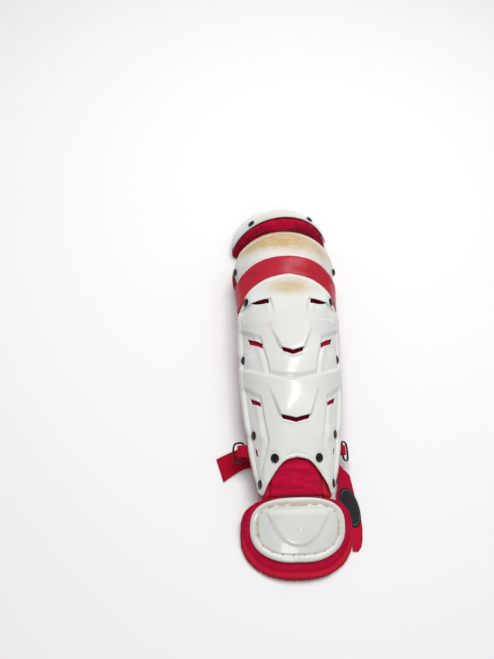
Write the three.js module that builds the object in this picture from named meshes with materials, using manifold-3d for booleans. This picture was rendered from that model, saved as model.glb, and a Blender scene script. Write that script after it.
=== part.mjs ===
// A catcher's leg guard lying on its back: white plastic shells riveted over red padding, with webbing and rings.
// Millimetres. X runs across the guard, Y from the toe (-) to the thigh (+), Z up from the floor.
import * as THREE from "three";
import Module from "manifold-3d";
import { mergeVertices } from "three/addons/utils/BufferGeometryUtils.js";

const wasm = await Module();
wasm.setup();

// Shin shell
const shinLength = 304; // leg tips to the middle of the top rim
const shinFoot = -50; // where the leg tips lie along the guard
const shinHalfWidth = 78;
const shinCrownHeight = 107; // crown above the floor at the knee end
const shinEdgeHeight = 72; // side edges above the floor at the knee end
const shellWall = 2.8;
const archDepth = 44; // the ankle arch, from the leg tips up to its apex
const topDrop = 56; // how far the top rim falls back at the sides
const wrap = 1.25; // half the angle, in radians, that each section wraps

// Relief on the shin shell
const panelHeight = 4; // how far a centre panel stands up at its lower end
const recessDepth = 2.4; // how far the side fields sink under their vents
const stepHeight = 1.6; // the step where one section laps over the next
const bevel = 6; // the width of the slanted sides
const ventDip = 5; // how far the middle of a centre vent dips
const ventSlot = 5; // the height of a vent
const rivetHead = 12; // diameters
const rivetShank = 4.4;
const rivetDome = 2.2;
const rivetBore = 20; // how far a rivet's hole is cut, through the thickest wall it meets

// Knee
const capLength = 130;
const capTuck = 39; // how far the cap's lower end reaches under the shell
const capStart = shinFoot + shinLength - capTuck;
const capOverhang = 2; // how far the cap is wider than the shell, on each side
const capHalfWidth = shinHalfWidth + capOverhang;
const capCrownHeight = 111.2;
const capEdgeHeight = 74;
const bandPlace = 0.515; // upper edge of the band at the middle, as a share of the cap's length
const bandWidth = 38;
const bandFlare = 4; // how far the band's ends stand off the cap
const bandFall = 28; // how much lower the band sits at its ends than at the middle
const bandSpread = 0.15; // how much wider the band is at its ends, as a share of its width

// Padding
const clearance = 0.4; // between pieces that touch
const linerThick = 11;
const linerReach = 0.96; // how much of a section's width its lining covers
const bibReach = 0.78; // how far round its lining the bib goes on full length, as a share of half the lining
const kneeLinerShare = 0.823; // how much of the cap's length its lining runs under
const kneeLinerEnd = capStart + kneeLinerShare * capLength;
const wingTaper = 5; // how far a wing leans in on its way to the floor
const kneeBulge = 9; // how far the knee lining's wings swell out halfway down
const padThick = 15;

// Thigh guard
const thighHalfWidth = capHalfWidth + 6;
const thighHeight = 91; // floor to the top of the pad's near lip
const thighGap = 36; // from the knee padding's end to the thigh guard
const thighNear = kneeLinerEnd + thighGap; // where the near lip meets the floor
const thighLip = 8; // how far the pad's lining reaches out past its plate
const thighReach = 82; // near lip to the far end, along the guard
const thighTurn = 5; // degrees that it has swung round on its elastic links
const thighPlateInset = 5;
const thighPlateShare = 0.86; // how much of the pad's turn the plate covers

// Toe guard
const toeSlope = 0.41; // fall for each millimetre towards the toe
const toeBow = 19.6; // fall from the middle to the sides
const toeTopHeight = 51;
const toeCentre = -103;
const toeHalfWidth = 77;
const toeUp = 52; // from the centre to the edge at the ankle
const toeDown = 52;
const toeSquare = 2.6; // how square the pad's upper half is: 2 is an ellipse
const toeRoll = 13; // width of the rolled rim
const toeRollHeight = 4;
const toePlateCentre = -90;
const toePlateHalfWidth = 63;
const toePlateUp = 36;
const toePlateDown = 41;
const toePlateSquare = 2.9;
const toePlateRim = 10; // from the plate's edge in to the foot of its dome
const toePlateRise = 6; // how far the dome stands off the pad

// Webbing and rings
const webThick = 1.8;
const tabWidth = 13;
const tabReach = 6; // from the tab's root to the near side of its loop
const tabTail = 3;
const ringLength = 26;
const ringReach = 17;
const ringWire = 2.8;
const ringAlong = 10;
const ringHeight = 34;
const strapWidth = 32;
const strapReach = 46; // free length of the ankle strap outside the padding
const backStrapWidth = 38;
const linkWidth = 28;
const linkOffset = 38;
const linkThick = 3;
const panelThick = 2.2;
const panelRunOn = 15; // how far the instep panel runs on past the toe guard's middle
const patchThick = 1.2;
const patchWidth = 25;
const patchLength = 54;
const patchTurn = 15; // degrees

const shinTop = shinFoot + shinLength;
const linerGap = shellWall + recessDepth + clearance;
const rad = THREE.MathUtils.degToRad;
const thighWrap = rad(80); // half the angle that the thigh guard wraps
const smooth = (value) => THREE.MathUtils.smoothstep(value, 0, 1);
const lerp = THREE.MathUtils.lerp;

// Each row is one section: its place along the shell and its sizes, as shares of the sizes above.
const shinProfile = [
  { along: 0.0, half: 0.69, crown: 0.57, edge: 0.46 },
  { along: 0.08, half: 0.737, crown: 0.617, edge: 0.53 },
  { along: 0.18, half: 0.814, crown: 0.682, edge: 0.583 },
  { along: 0.28, half: 0.865, crown: 0.743, edge: 0.625 },
  { along: 0.42, half: 0.93, crown: 0.822, edge: 0.667 },
  { along: 0.58, half: 0.974, crown: 0.897, edge: 0.722 },
  { along: 0.73, half: 0.981, crown: 0.953, edge: 0.792 },
  { along: 0.84, half: 0.987, crown: 0.981, edge: 0.875 },
  { along: 1.0, half: 1.0, crown: 1.0, edge: 1.0 },
];
const capProfile = [
  { along: 0.0, half: 0.862, crown: 0.885, edge: 0.784 },
  { along: 0.29, half: 0.902, crown: 0.899, edge: 0.77 },
  { along: 0.42, half: 0.96, crown: 0.943, edge: 0.757 },
  { along: 0.54, half: 1.0, crown: 0.982, edge: 0.757 },
  { along: 0.65, half: 0.988, crown: 1.0, edge: 0.77 },
  { along: 0.75, half: 0.931, crown: 0.996, edge: 0.811 },
  { along: 0.83, half: 0.825, crown: 0.964, edge: 0.865 },
  { along: 0.91, half: 0.662, crown: 0.895, edge: 0.919 },
  { along: 0.96, half: 0.488, crown: 0.814, edge: 0.966 },
  { along: 1.0, half: 0.3, crown: 0.728, edge: 0.985 },
];
// The lower edge as a share of archDepth above the leg tips, and the top rim's fall as a share of topDrop.
const shinLowerEdge = [
  { along: 0.0, rise: 1.0 },
  { along: 0.2, rise: 0.91 },
  { along: 0.4, rise: 0.61 },
  { along: 0.6, rise: 0.24 },
  { along: 0.7, rise: 0.06 },
  { along: 0.78, rise: 0.0 },
  { along: 0.88, rise: 0.08 },
  { along: 0.95, rise: 0.25 },
  { along: 1.0, rise: 0.5 },
];
const shinTopRim = [
  { along: 0.0, fall: 0.0 },
  { along: 0.33, fall: 0.12 },
  { along: 0.58, fall: 0.31 },
  { along: 0.76, fall: 0.52 },
  { along: 0.88, fall: 0.75 },
  { along: 1.0, fall: 1.0 },
];
// Centre panels: they widen from their lower end, where a vent opens below them, up to their root.
const centrePanels = [
  { foot: 0.621, root: 0.761, footHalf: 0.203, rootHalf: 0.378 },
  { foot: 0.322, root: 0.484, footHalf: 0.25, rootHalf: 0.474 },
];
// Side fields, sunk below a slanting upper edge (out to in) and outside an inner edge (in, mid, foot).
const sideFields = [
  { outX: 0.865, outY: 0.745, inX: 0.538, inY: 0.693, midX: 0.506, midY: 0.634, footX: 0.385, footY: 0.51 },
  { outX: 0.872, outY: 0.48, inX: 0.596, inY: 0.431, midX: 0.551, midY: 0.379, footX: 0.449, footY: 0.231 },
];
const sideVents = [
  { field: 0, from: 0.526, to: 0.79, below: 11, slot: 7 },
  { field: 1, from: 0.583, to: 0.77, below: 12.5, slot: 5 },
];
// Narrow vents with three corners, out along a side of the shell.
const smallVents = [
  { inX: 0.385, inY: 0.873, tipX: 0.7, tipY: 0.856, lowX: 0.385, lowY: 0.85 },
  { inX: 0.655, inY: 0.168, tipX: 0.68, tipY: 0.195, lowX: 0.69, lowY: 0.168 },
];
const lapFade = 0.16; // the share of the shell over which a lap's step fades out
const laps = [
  { middle: 0.763, sideRise: 0.026 },
  { middle: 0.487, sideRise: 0.056 },
];
const shinRivets = [
  { name: "top", across: 0.801, along: 0.879 },
  { name: "calf", across: 0.897, along: 0.605 },
  { name: "low", across: 0.737, along: 0.252 },
  { name: "arch", across: 0.372, along: 0.144 },
  { name: "tip", across: 0.628, along: 0.046 },
];
const capRivet = { across: 0.93, along: 0.52 };
const thighRivet = { across: 0.42, along: 0.13 };
const linkLip = 0.34; // where a link meets the thigh guard's lip, as a share of its half turn
// The thigh guard's sections from its near lip to its far end.
const thighProfile = [
  { along: 0.0, crownY: 0.15, crownZ: 1.0, half: 1.0, edgeY: 0.0, edgeZ: 0.0 },
  { along: 0.25, crownY: 0.4, crownZ: 0.85, half: 0.985, edgeY: 0.2, edgeZ: 0.0 },
  { along: 0.5, crownY: 0.66, crownZ: 0.62, half: 0.92, edgeY: 0.45, edgeZ: 0.0 },
  { along: 0.75, crownY: 0.86, crownZ: 0.38, half: 0.78, edgeY: 0.68, edgeZ: 0.02 },
  { along: 1.0, crownY: 1.0, crownZ: 0.17, half: 0.55, edgeY: 0.88, edgeZ: 0.08 },
];
// The instep panel from its ring down to the floor beside the toe, as shares of the toe guard's half width.
const instepProfile = [
  { along: 0.0, inner: 0.9, outer: 0.985, height: 0.29 },
  { along: 0.17, inner: 0.85, outer: 1.03, height: 0.15 },
  { along: 0.39, inner: 0.77, outer: 1.1, height: 0.05 },
  { along: 0.59, inner: 0.86, outer: 1.165, height: 0.015 },
  { along: 0.7, inner: 1.004, outer: 1.18, height: 0.008 },
  { along: 0.79, inner: 1.006, outer: 1.17, height: 0.008 },
  { along: 0.94, inner: 1.006, outer: 1.12, height: 0.008 },
  { along: 1.0, inner: 1.006, outer: 1.05, height: 0.008 },
];
const patchPlace = { across: 0.995, along: 0.5 }; // as shares of the toe guard's half width and the panel's run
// The ankle strap from its root on the wing to its free end: out and back as shares of its reach and width.
const ankleRoute = [
  { out: 0.057, back: 0, height: 0.55 },
  { out: 0.035, back: 0, height: 0.315 },
  { out: 0.076, back: 0.016, height: 0.08 },
  { out: 0.196, back: 0.03, height: 0.015 },
  { out: 0.5, back: 0.22, height: 0.035 },
  { out: 1, back: 0.594, height: 0.006 },
];
const ringSides = [
  { side: "left", hand: -1, lean: 0.55 },
  { side: "right", hand: 1, lean: 0.95 },
];

const white = new THREE.MeshStandardMaterial({ color: 0xe9e7e2, roughness: 0.28 });
const redPlastic = new THREE.MeshStandardMaterial({ color: 0xc4142c, roughness: 0.3 });
const redCloth = new THREE.MeshStandardMaterial({ color: 0xc01530, roughness: 0.9 });
const redWebbing = new THREE.MeshStandardMaterial({ color: 0xb5102a, roughness: 0.8 });
const blackCloth = new THREE.MeshStandardMaterial({ color: 0x15151a, roughness: 0.8 });
const gunmetal = new THREE.MeshStandardMaterial({ color: 0x3a3b3c, roughness: 0.35, metalness: 1 });

const guard = new THREE.Group();

// A column of a table at any place between its first row and its last, by a smooth curve through the rows.
function sample(table, column, at) {
  const place = THREE.MathUtils.clamp(at, 0, 1);
  let k = 0;
  while (k < table.length - 2 && place > table[k + 1].along) k++;
  const slope = (i) => {
    const before = table[Math.max(i - 1, 0)];
    const after = table[Math.min(i + 1, table.length - 1)];
    return (after[column] - before[column]) / (after.along - before.along);
  };
  const span = table[k + 1].along - table[k].along;
  const u = (place - table[k].along) / span;
  const [p, q] = [table[k][column], table[k + 1][column]];
  const [m, n] = [slope(k) * span, slope(k + 1) * span];
  return p + u * (m + u * (3 * (q - p) - 2 * m - n + u * (2 * (p - q) + m + n)));
}

function closed(positions, index) {
  const geometry = new THREE.BufferGeometry();
  geometry.setAttribute("position", new THREE.Float32BufferAttribute(positions, 3));
  geometry.setIndex(index);
  return geometry;
}

// A padded or moulded wall between two surfaces, each a function of across (-1 to 1) and along (0 to 1).
function slab(columns, rows, outer, inner) {
  const positions = [];
  const index = [];
  const id = (side, i, j) => (side * (rows + 1) + j) * (columns + 1) + i;
  const quad = (a, b, c, d) => index.push(a, b, c, a, c, d);
  for (const surface of [outer, inner])
    for (let j = 0; j <= rows; j++)
      for (let i = 0; i <= columns; i++) positions.push(...surface((2 * i) / columns - 1, j / rows));
  for (let j = 0; j < rows; j++)
    for (let i = 0; i < columns; i++) {
      quad(id(0, i, j), id(0, i + 1, j), id(0, i + 1, j + 1), id(0, i, j + 1));
      quad(id(1, i, j), id(1, i, j + 1), id(1, i + 1, j + 1), id(1, i + 1, j));
    }
  for (let i = 0; i < columns; i++) {
    quad(id(1, i, 0), id(1, i + 1, 0), id(0, i + 1, 0), id(0, i, 0));
    quad(id(0, i, rows), id(0, i + 1, rows), id(1, i + 1, rows), id(1, i, rows));
  }
  for (let j = 0; j < rows; j++) {
    quad(id(0, 0, j), id(0, 0, j + 1), id(1, 0, j + 1), id(1, 0, j));
    quad(id(1, columns, j), id(1, columns, j + 1), id(0, columns, j + 1), id(0, columns, j));
  }
  return closed(positions, index);
}

// A round or oval body from a top pole to a bottom pole: point(turn, row) places each ring between them.
function button(segments, rows, point) {
  const positions = [...point(0, rows[0])];
  const index = [];
  const rings = rows.slice(1, -1);
  for (const row of rings)
    for (let k = 0; k < segments; k++) positions.push(...point((2 * Math.PI * k) / segments, row));
  positions.push(...point(0, rows.at(-1)));
  const id = (ring, k) => 1 + ring * segments + (k % segments);
  const last = 1 + rings.length * segments;
  for (let k = 0; k < segments; k++) {
    index.push(0, id(0, k), id(0, k + 1));
    index.push(last, id(rings.length - 1, k + 1), id(rings.length - 1, k));
    for (let ring = 0; ring < rings.length - 1; ring++) {
      index.push(id(ring, k), id(ring + 1, k), id(ring + 1, k + 1));
      index.push(id(ring, k), id(ring + 1, k + 1), id(ring, k + 1));
    }
  }
  return closed(positions, index);
}

// A bent wire ring in the XY plane whose centre line is the oval of the two half lengths.
function hoop(halfAcross, halfAlong, wire, segments = 18, sides = 5) {
  const positions = [];
  const index = [];
  for (let k = 0; k < segments; k++) {
    const turn = (2 * Math.PI * k) / segments;
    const [c, d] = [Math.cos(turn), Math.sin(turn)];
    const square = (value, power) => Math.sign(value) * Math.abs(value) ** power;
    const centre = new THREE.Vector2(halfAcross * square(c, 0.6), halfAlong * square(d, 0.6));
    const out = new THREE.Vector2(square(c, 1.4) / halfAcross, square(d, 1.4) / halfAlong).normalize();
    for (let s = 0; s < sides; s++) {
      const roll = (2 * Math.PI * s) / sides;
      const r = (wire / 2) * Math.cos(roll);
      positions.push(centre.x + out.x * r, centre.y + out.y * r, (wire / 2) * Math.sin(roll));
    }
  }
  const id = (k, s) => (k % segments) * sides + (s % sides);
  for (let k = 0; k < segments; k++)
    for (let s = 0; s < sides; s++) {
      index.push(id(k, s), id(k + 1, s), id(k + 1, s + 1));
      index.push(id(k, s), id(k + 1, s + 1), id(k, s + 1));
    }
  return closed(positions, index);
}

// A flat strap along a route of points: edge gives the vector across it at each share of the route.
function ribbon(route, thick, edge) {
  const curve = new THREE.CatmullRomCurve3(route, false, "centripetal");
  const columns = route.length * 2;
  const at = (across, along, side) => {
    const u = (across + 1) / 2;
    const middle = curve.getPoint(u);
    const ahead = curve.getTangent(u);
    const wide = edge(u);
    const normal = new THREE.Vector3().crossVectors(ahead, wide).normalize();
    return middle
      .addScaledVector(wide, along - 0.5)
      .addScaledVector(normal, (side * thick) / 2);
  };
  return slab(
    columns,
    1,
    (across, along) => at(across, along, 1),
    (across, along) => at(across, along, -1),
  );
}

function solidOf(geometry) {
  const bare = geometry.clone();
  bare.deleteAttribute("normal");
  bare.deleteAttribute("uv");
  const merged = mergeVertices(bare, 1e-4);
  return new wasm.Manifold(
    new wasm.Mesh({
      numProp: 3,
      vertProperties: new Float32Array(merged.attributes.position.array),
      triVerts: new Uint32Array(merged.index.array),
    }),
  );
}

function cut(geometry, cutters) {
  let solid = solidOf(geometry);
  for (const cutter of cutters) solid = solid.subtract(solidOf(cutter));
  const mesh = solid.getMesh();
  return closed(Array.from(mesh.vertProperties), Array.from(mesh.triVerts));
}

function add(name, geometry, material, parent = guard) {
  const mesh = new THREE.Mesh(geometry, material);
  mesh.name = name;
  parent.add(mesh);
  return mesh;
}

// The height of an arched section: half, crown and edge are its sizes there.
function archHeight(x, { half, crown, edge }) {
  const turn = Math.asin(THREE.MathUtils.clamp((x / half) * Math.sin(wrap), -1, 1));
  return crown - ((crown - edge) * (1 - Math.cos(turn))) / (1 - Math.cos(wrap));
}

const shinAlong = (y) => (y - shinFoot) / shinLength;
const shinSection = (y) => ({
  half: shinHalfWidth * sample(shinProfile, "half", shinAlong(y)),
  crown: shinCrownHeight * sample(shinProfile, "crown", shinAlong(y)),
  edge: shinEdgeHeight * sample(shinProfile, "edge", shinAlong(y)),
});
const capSection = (y) => ({
  half: capHalfWidth * sample(capProfile, "half", (y - capStart) / capLength),
  crown: capCrownHeight * sample(capProfile, "crown", (y - capStart) / capLength),
  edge: capEdgeHeight * sample(capProfile, "edge", (y - capStart) / capLength),
});

// The point of a section at across (-1 to 1), moved out along the surface's own direction.
function onArch(section, across, y, lift = 0) {
  const x = (section(y).half * Math.sin(across * wrap)) / Math.sin(wrap);
  const here = new THREE.Vector3(x, y, archHeight(x, section(y)));
  return here.addScaledVector(outward(section, across, y), lift);
}

function outward(section, across, y) {
  const spread = 0.01;
  const at = (a, b) => {
    const size = section(b);
    const x = (size.half * Math.sin(a * wrap)) / Math.sin(wrap);
    return new THREE.Vector3(x, b, archHeight(x, size));
  };
  const sideways = at(across + spread, y).sub(at(across - spread, y));
  const lengthways = at(across, y + 1).sub(at(across, y - 1));
  return sideways.cross(lengthways).normalize();
}

const acrossOf = (section, x, y) => {
  const sine = THREE.MathUtils.clamp((x / section(y).half) * Math.sin(wrap), -1, 1);
  return Math.asin(sine) / wrap;
};

// How far the shin shell's face stands above or below its plain arch.
function relief(x, y) {
  const side = Math.abs(x) / shinHalfWidth;
  const along = shinAlong(y);
  const bevelAlong = bevel / shinLength;
  const bevelAcross = bevel / shinHalfWidth;
  let lift = 0;
  for (const lap of laps) {
    const past = along - lap.middle - lap.sideRise * side * side;
    if (past > 0) lift += stepHeight * smooth((3 * past) / bevelAlong) * smooth(1 - past / lapFade);
  }
  for (const panel of centrePanels) {
    const run = (along - panel.foot) / (panel.root - panel.foot);
    if (run > 1) continue;
    const half = lerp(panel.footHalf, panel.rootHalf, Math.max(run, 0));
    const foot = panel.foot - (ventDip / shinLength) * (1 - side / panel.footHalf);
    const inside = smooth((half - side) / bevelAcross + 0.5);
    lift += panelHeight * smooth(1 - run) * inside * smooth((2 * (along - foot)) / bevelAlong + 0.5);
  }
  for (const field of sideFields) {
    const slant = (field.outY - field.inY) / (field.outX - field.inX);
    const upper = field.inY + slant * (side - field.inX);
    const inner =
      along > field.midY
        ? lerp(field.midX, field.inX, (along - field.midY) / (field.inY - field.midY))
        : lerp(field.footX, field.midX, (along - field.footY) / (field.midY - field.footY));
    const fade = smooth((along - field.footY + 0.02) / (field.midY - field.footY));
    lift -= recessDepth * fade * smooth((side - inner) / bevelAcross) * smooth((upper - along) / (2 * bevelAlong));
  }
  return lift;
}

const shinLower = (across) => shinFoot + archDepth * sample(shinLowerEdge, "rise", Math.abs(across));
const shinUpper = (across) => shinTop - topDrop * sample(shinTopRim, "fall", Math.abs(across));

function shinFace(across, y, depth) {
  const plain = onArch(shinSection, across, y);
  return onArch(shinSection, across, y, relief(plain.x, y) - depth);
}

const shinPoint = (across, along, depth) =>
  shinFace(across, lerp(shinLower(across), shinUpper(across), along), depth);

// A cutter that stands upright through the shell over an outline given as points [x, y].
function upright(outline) {
  const shape = new THREE.Shape(outline.map(([x, y]) => new THREE.Vector2(x, y)));
  return new THREE.ExtrudeGeometry(shape, { depth: 2 * shinCrownHeight, bevelEnabled: false });
}

const shinX = (share) => share * shinHalfWidth;
const shinY = (share) => shinFoot + share * shinLength;

function ventCutters() {
  const cutters = [];
  for (const panel of centrePanels) {
    const wide = shinX(panel.footHalf);
    const top = shinY(panel.foot);
    const narrow = wide - ventSlot / 2;
    cutters.push(
      upright([
        [-wide, top],
        [-narrow, top - ventSlot],
        [0, top - ventDip - ventSlot],
        [narrow, top - ventSlot],
        [wide, top],
        [0, top - ventDip],
      ]),
    );
  }
  for (const mirror of [-1, 1]) {
    for (const vent of sideVents) {
      const field = sideFields[vent.field];
      const slant = (field.outY - field.inY) / (field.outX - field.inX);
      const upper = (x) => shinY(field.inY + slant * (x - field.inX)) - vent.below;
      const outline = [
        [shinX(vent.from), upper(vent.from)],
        [shinX(vent.from), upper(vent.from) - vent.slot],
        [shinX(vent.to) - 2, upper(vent.to) - vent.slot],
        [shinX(vent.to), upper(vent.to)],
      ];
      cutters.push(upright(outline.map(([x, y]) => [mirror * x, y])));
    }
    for (const vent of smallVents) {
      const outline = [
        [shinX(vent.inX), shinY(vent.inY)],
        [shinX(vent.tipX), shinY(vent.tipY)],
        [shinX(vent.lowX), shinY(vent.lowY)],
      ];
      cutters.push(upright(outline.map(([x, y]) => [mirror * x, y])));
    }
  }
  return cutters;
}

// A rivet with its head's flat side on the origin and its shank down -Z.
function rivetShape(shank) {
  const profile = [
    [0, -shank],
    [rivetShank / 2, -shank],
    [rivetShank / 2, 0],
    [rivetHead / 2, 0],
    [rivetHead / 2 - 0.5, rivetDome / 2],
    [0, rivetDome],
  ];
  const lathe = new THREE.LatheGeometry(
    profile.map(([r, z]) => new THREE.Vector2(r, z)),
    8,
  );
  return lathe.rotateX(Math.PI / 2);
}

// A hole for a rivet's shank, along the same direction.
function shankCutter(place, direction) {
  const radius = rivetShank / 2 + clearance;
  const drill = new THREE.CylinderGeometry(radius, radius, rivetBore, 6);
  drill.rotateX(Math.PI / 2);
  drill.applyQuaternion(turnTo(direction));
  return drill.translate(...place);
}

const turnTo = (direction) =>
  new THREE.Quaternion().setFromUnitVectors(new THREE.Vector3(0, 0, 1), direction);

function setRivet(name, place, direction, shank, parent = guard) {
  const rivet = add(name, rivetShape(shank), gunmetal, parent);
  rivet.position.copy(place).addScaledVector(direction, clearance);
  rivet.quaternion.copy(turnTo(direction));
}

function shinShell() {
  const cutters = ventCutters();
  for (const mirror of [-1, 1])
    for (const { name, across, along } of shinRivets) {
      const [x, y] = [mirror * shinX(across), shinY(along)];
      const t = acrossOf(shinSection, x, y);
      const place = shinFace(t, y, 0);
      const reach = rivetHead / 2;
      const spread = acrossOf(shinSection, x + mirror * reach, y) - acrossOf(shinSection, x - mirror * reach, y);
      const sideways = shinFace(t + spread / 2, y, 0).sub(shinFace(t - spread / 2, y, 0));
      const lengthways = shinFace(t, y + reach, 0).sub(shinFace(t, y - reach, 0));
      const direction = sideways.cross(lengthways).normalize().multiplyScalar(mirror);
      cutters.push(shankCutter(place, direction));
      const side = mirror < 0 ? "left" : "right";
      setRivet(`rivet_${name}_${side}`, place, direction, shellWall + clearance);
    }
  const wall = slab(
    22,
    26,
    (across, along) => shinPoint(across, along, 0),
    (across, along) => shinPoint(across, along, shellWall),
  );
  add("shin_shell", cut(wall, cutters), white);
}

function kneeCap() {
  const at = (across, along, depth) => onArch(capSection, across, capStart + along * capLength, -depth);
  const wall = slab(
    16,
    12,
    (across, along) => at(across, along, 0),
    (across, along) => at(across, along, shellWall),
  );
  const cutters = [];
  for (const mirror of [-1, 1]) {
    const across = capRivet.across * mirror;
    const place = at(across, capRivet.along, 0);
    const direction = outward(capSection, across, place.y);
    cutters.push(shankCutter(place, direction));
    setRivet(`rivet_knee_${mirror < 0 ? "left" : "right"}`, place, direction, shellWall + clearance);
  }
  add("knee_cap", cut(wall, cutters), white);
}

// The red band round the cap: its ends flare off the cap and reach further down the guard.
function kneeBand() {
  const at = (across, along, lift) => {
    const side = Math.abs(across);
    const top = capStart + bandPlace * capLength - bandFall * side ** 2.4;
    const wide = bandWidth * (1 + bandSpread * side * side);
    const y = top - wide * (1 - along);
    return onArch(capSection, across, y, clearance + bandFlare * smooth(2.5 * side - 1.5) + lift);
  };
  const band = slab(
    20,
    3,
    (across, along) => at(across, along, shellWall),
    (across, along) => at(across, along, 0),
  );
  add("knee_band", band, redPlastic);
}

// A padded lining under an arched section, with wings that drop from its edges to the floor: its face at a depth.
function liningAt({ section, gap, bulge }, across, y, depth) {
  const archShare = 0.7;
  const route = (place) => {
    const side = Math.abs(place);
    const hand = Math.sign(place) || 1;
    if (side <= archShare) return onArch(section, (linerReach * place) / archShare, y, -gap);
    const from = onArch(section, linerReach * hand, y, -gap);
    const down = (side - archShare) / (1 - archShare);
    const out = bulge * Math.sin(Math.PI * down) - wingTaper * down;
    return new THREE.Vector3(from.x + hand * out, y, from.z * (1 - down));
  };
  const here = route(across);
  if (!depth) return here;
  const step = 0.02;
  const run = route(Math.min(across + step, 1)).sub(route(Math.max(across - step, -1)));
  here.addScaledVector(new THREE.Vector3(run.z, 0, -run.x).normalize(), depth);
  if (Math.abs(across) === 1) here.z = 0;
  return here;
}

function lining(columns, rows, shape, start, end) {
  const at = (across, along, depth) => liningAt(shape, across, lerp(start(across), end, along), depth);
  return slab(
    columns,
    rows,
    (across, along) => at(across, along, 0),
    (across, along) => at(across, along, linerThick),
  );
}

const shinLining = { section: shinSection, gap: linerGap, bulge: 0 };
const kneeLining = { section: capSection, gap: shellWall + 2 * clearance, bulge: kneeBulge };

function liners() {
  const bibSide = shinFoot + archDepth / 2;
  const bibEnd = (across) => {
    const share = (1.1 * Math.abs(across) * shinSection(shinFoot).half) / toeHalfWidth;
    return toeCentre + toeUp * (1 - Math.min(share, 1) ** toeSquare) ** (1 / toeSquare) + clearance;
  };
  const start = (across) => lerp(bibEnd(across), bibSide, smooth((Math.abs(across) - bibReach) / 0.08));
  add("shin_liner", lining(22, 12, shinLining, start, capStart - 2 * clearance), redCloth);
  add("knee_liner", lining(18, 7, kneeLining, () => capStart + clearance, kneeLinerEnd), redCloth);
}

const thighPoint = (across, along, depth) => {
  const row = (column) => sample(thighProfile, column, along);
  const turn = across * thighWrap;
  const share = (Math.cos(turn) - Math.cos(thighWrap)) / (1 - Math.cos(thighWrap));
  const x = (thighHalfWidth * row("half") * Math.sin(turn)) / Math.sin(thighWrap);
  const y = thighNear + thighReach * lerp(row("edgeY"), row("crownY"), share);
  const z = thighHeight * lerp(row("edgeZ"), row("crownZ"), share);
  const here = new THREE.Vector3(x, y, z);
  if (!depth) return here;
  const step = 0.01;
  const sideways = thighPoint(across + step, along, 0).sub(thighPoint(across - step, along, 0));
  const [low, high] = [Math.max(along - step, 0), Math.min(along + step, 1)];
  const lengthways = thighPoint(across, high, 0).sub(thighPoint(across, low, 0));
  return here.addScaledVector(sideways.cross(lengthways).normalize(), -depth);
};

// A point in the thigh pad, at a share of its thickness from the plate. Its lining slopes out at the near lip.
function inThighPad(across, along, share) {
  const point = thighPoint(across, along, shellWall + clearance + share * padThick);
  point.y -= thighLip * share * (1 - along) ** 3;
  return point;
}

function thighGuard() {
  const turned = new THREE.Group();
  turned.position.set(0, thighNear, 0);
  turned.rotation.z = rad(thighTurn);
  const moved = new THREE.Group();
  moved.position.set(0, -thighNear, 0);
  turned.add(moved);
  guard.add(turned);
  const flat = (point) => point.setZ(Math.max(point.z, 0));
  const pad = slab(
    16,
    8,
    (across, along) => flat(inThighPad(across, along, 0)),
    (across, along) => flat(inThighPad(across, along, 1)),
  );
  add("thigh_pad", pad, redCloth, moved);
  const inset = thighPlateInset / thighReach;
  const plateAt = (across, along, depth) =>
    thighPoint(thighPlateShare * across, lerp(inset / 2, 1 - inset, along), depth);
  const plate = slab(
    14,
    7,
    (across, along) => plateAt(across, along, 0),
    (across, along) => plateAt(across, along, shellWall),
  );
  const cutters = [];
  for (const mirror of [-1, 1]) {
    const across = thighRivet.across * mirror;
    const place = thighPoint(across, thighRivet.along, 0);
    const direction = thighPoint(across, thighRivet.along, -1).sub(place).normalize();
    cutters.push(shankCutter(place, direction));
    setRivet(`rivet_thigh_${mirror < 0 ? "left" : "right"}`, place, direction, shellWall + clearance, moved);
  }
  add("thigh_plate", cut(plate, cutters), white, moved);
  return moved;
}

// Elastic links from the end of the knee padding to the near lip of the thigh pad.
function thighLinks(thigh) {
  guard.updateMatrixWorld(true);
  for (const mirror of [-1, 1]) {
    const y = kneeLinerEnd;
    const across = acrossOf(capSection, mirror * linkOffset, y);
    const from = onArch(capSection, across, y, -shellWall - 0.85 * linerThick);
    const kneeSide = onArch(capSection, across + 0.1, y).sub(onArch(capSection, across - 0.1, y));
    from.y = kneeLinerEnd + 2 * clearance;
    const lip = mirror * linkLip;
    const to = inThighPad(lip, 0, 0.6);
    const beside = inThighPad(lip, 0.02, 0.6);
    const thighSide = inThighPad(lip + 0.1, 0, 0.6).sub(inThighPad(lip - 0.1, 0, 0.6));
    const away = to.clone().sub(beside).normalize();
    const lead = to.clone().addScaledVector(away, 2 * linkThick).applyMatrix4(thigh.matrixWorld);
    to.addScaledVector(away, 2 * clearance).applyMatrix4(thigh.matrixWorld);
    thighSide.transformDirection(thigh.matrixWorld);
    kneeSide.setLength(linkWidth);
    thighSide.setLength(linkWidth);
    const rim = new THREE.Vector3(from.x, capStart + capLength - shellWall, capEdgeHeight - 3.8 * linkThick);
    const dip = from.clone().lerp(rim, 0.5).setZ(rim.z + linkThick);
    add(
      `thigh_link_${mirror < 0 ? "left" : "right"}`,
      ribbon([from, dip, rim, lead, to], linkThick, (u) => kneeSide.clone().lerp(thighSide, u)),
      redWebbing,
    );
  }
}

const toeHeight = (x, y) => toeTopHeight + toeSlope * (y - toeCentre - toeUp) - toeBow * (x / toeHalfWidth) ** 2;

// An oval whose upper half is squarer than its lower half.
function toeOutline(turn, centre, half, up, down, inset, squareness) {
  const [c, s] = [Math.cos(turn), Math.sin(turn)];
  const power = 2 / (s > 0 ? squareness : 2.25);
  const x = half * Math.sign(c) * Math.abs(c) ** power;
  const y = (s > 0 ? up : down) * Math.sign(s) * Math.abs(s) ** power;
  const reach = Math.hypot(x, y);
  const kept = Math.max(reach - inset, 0) / reach;
  return { x: x * kept, y: centre + y * kept };
}

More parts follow.
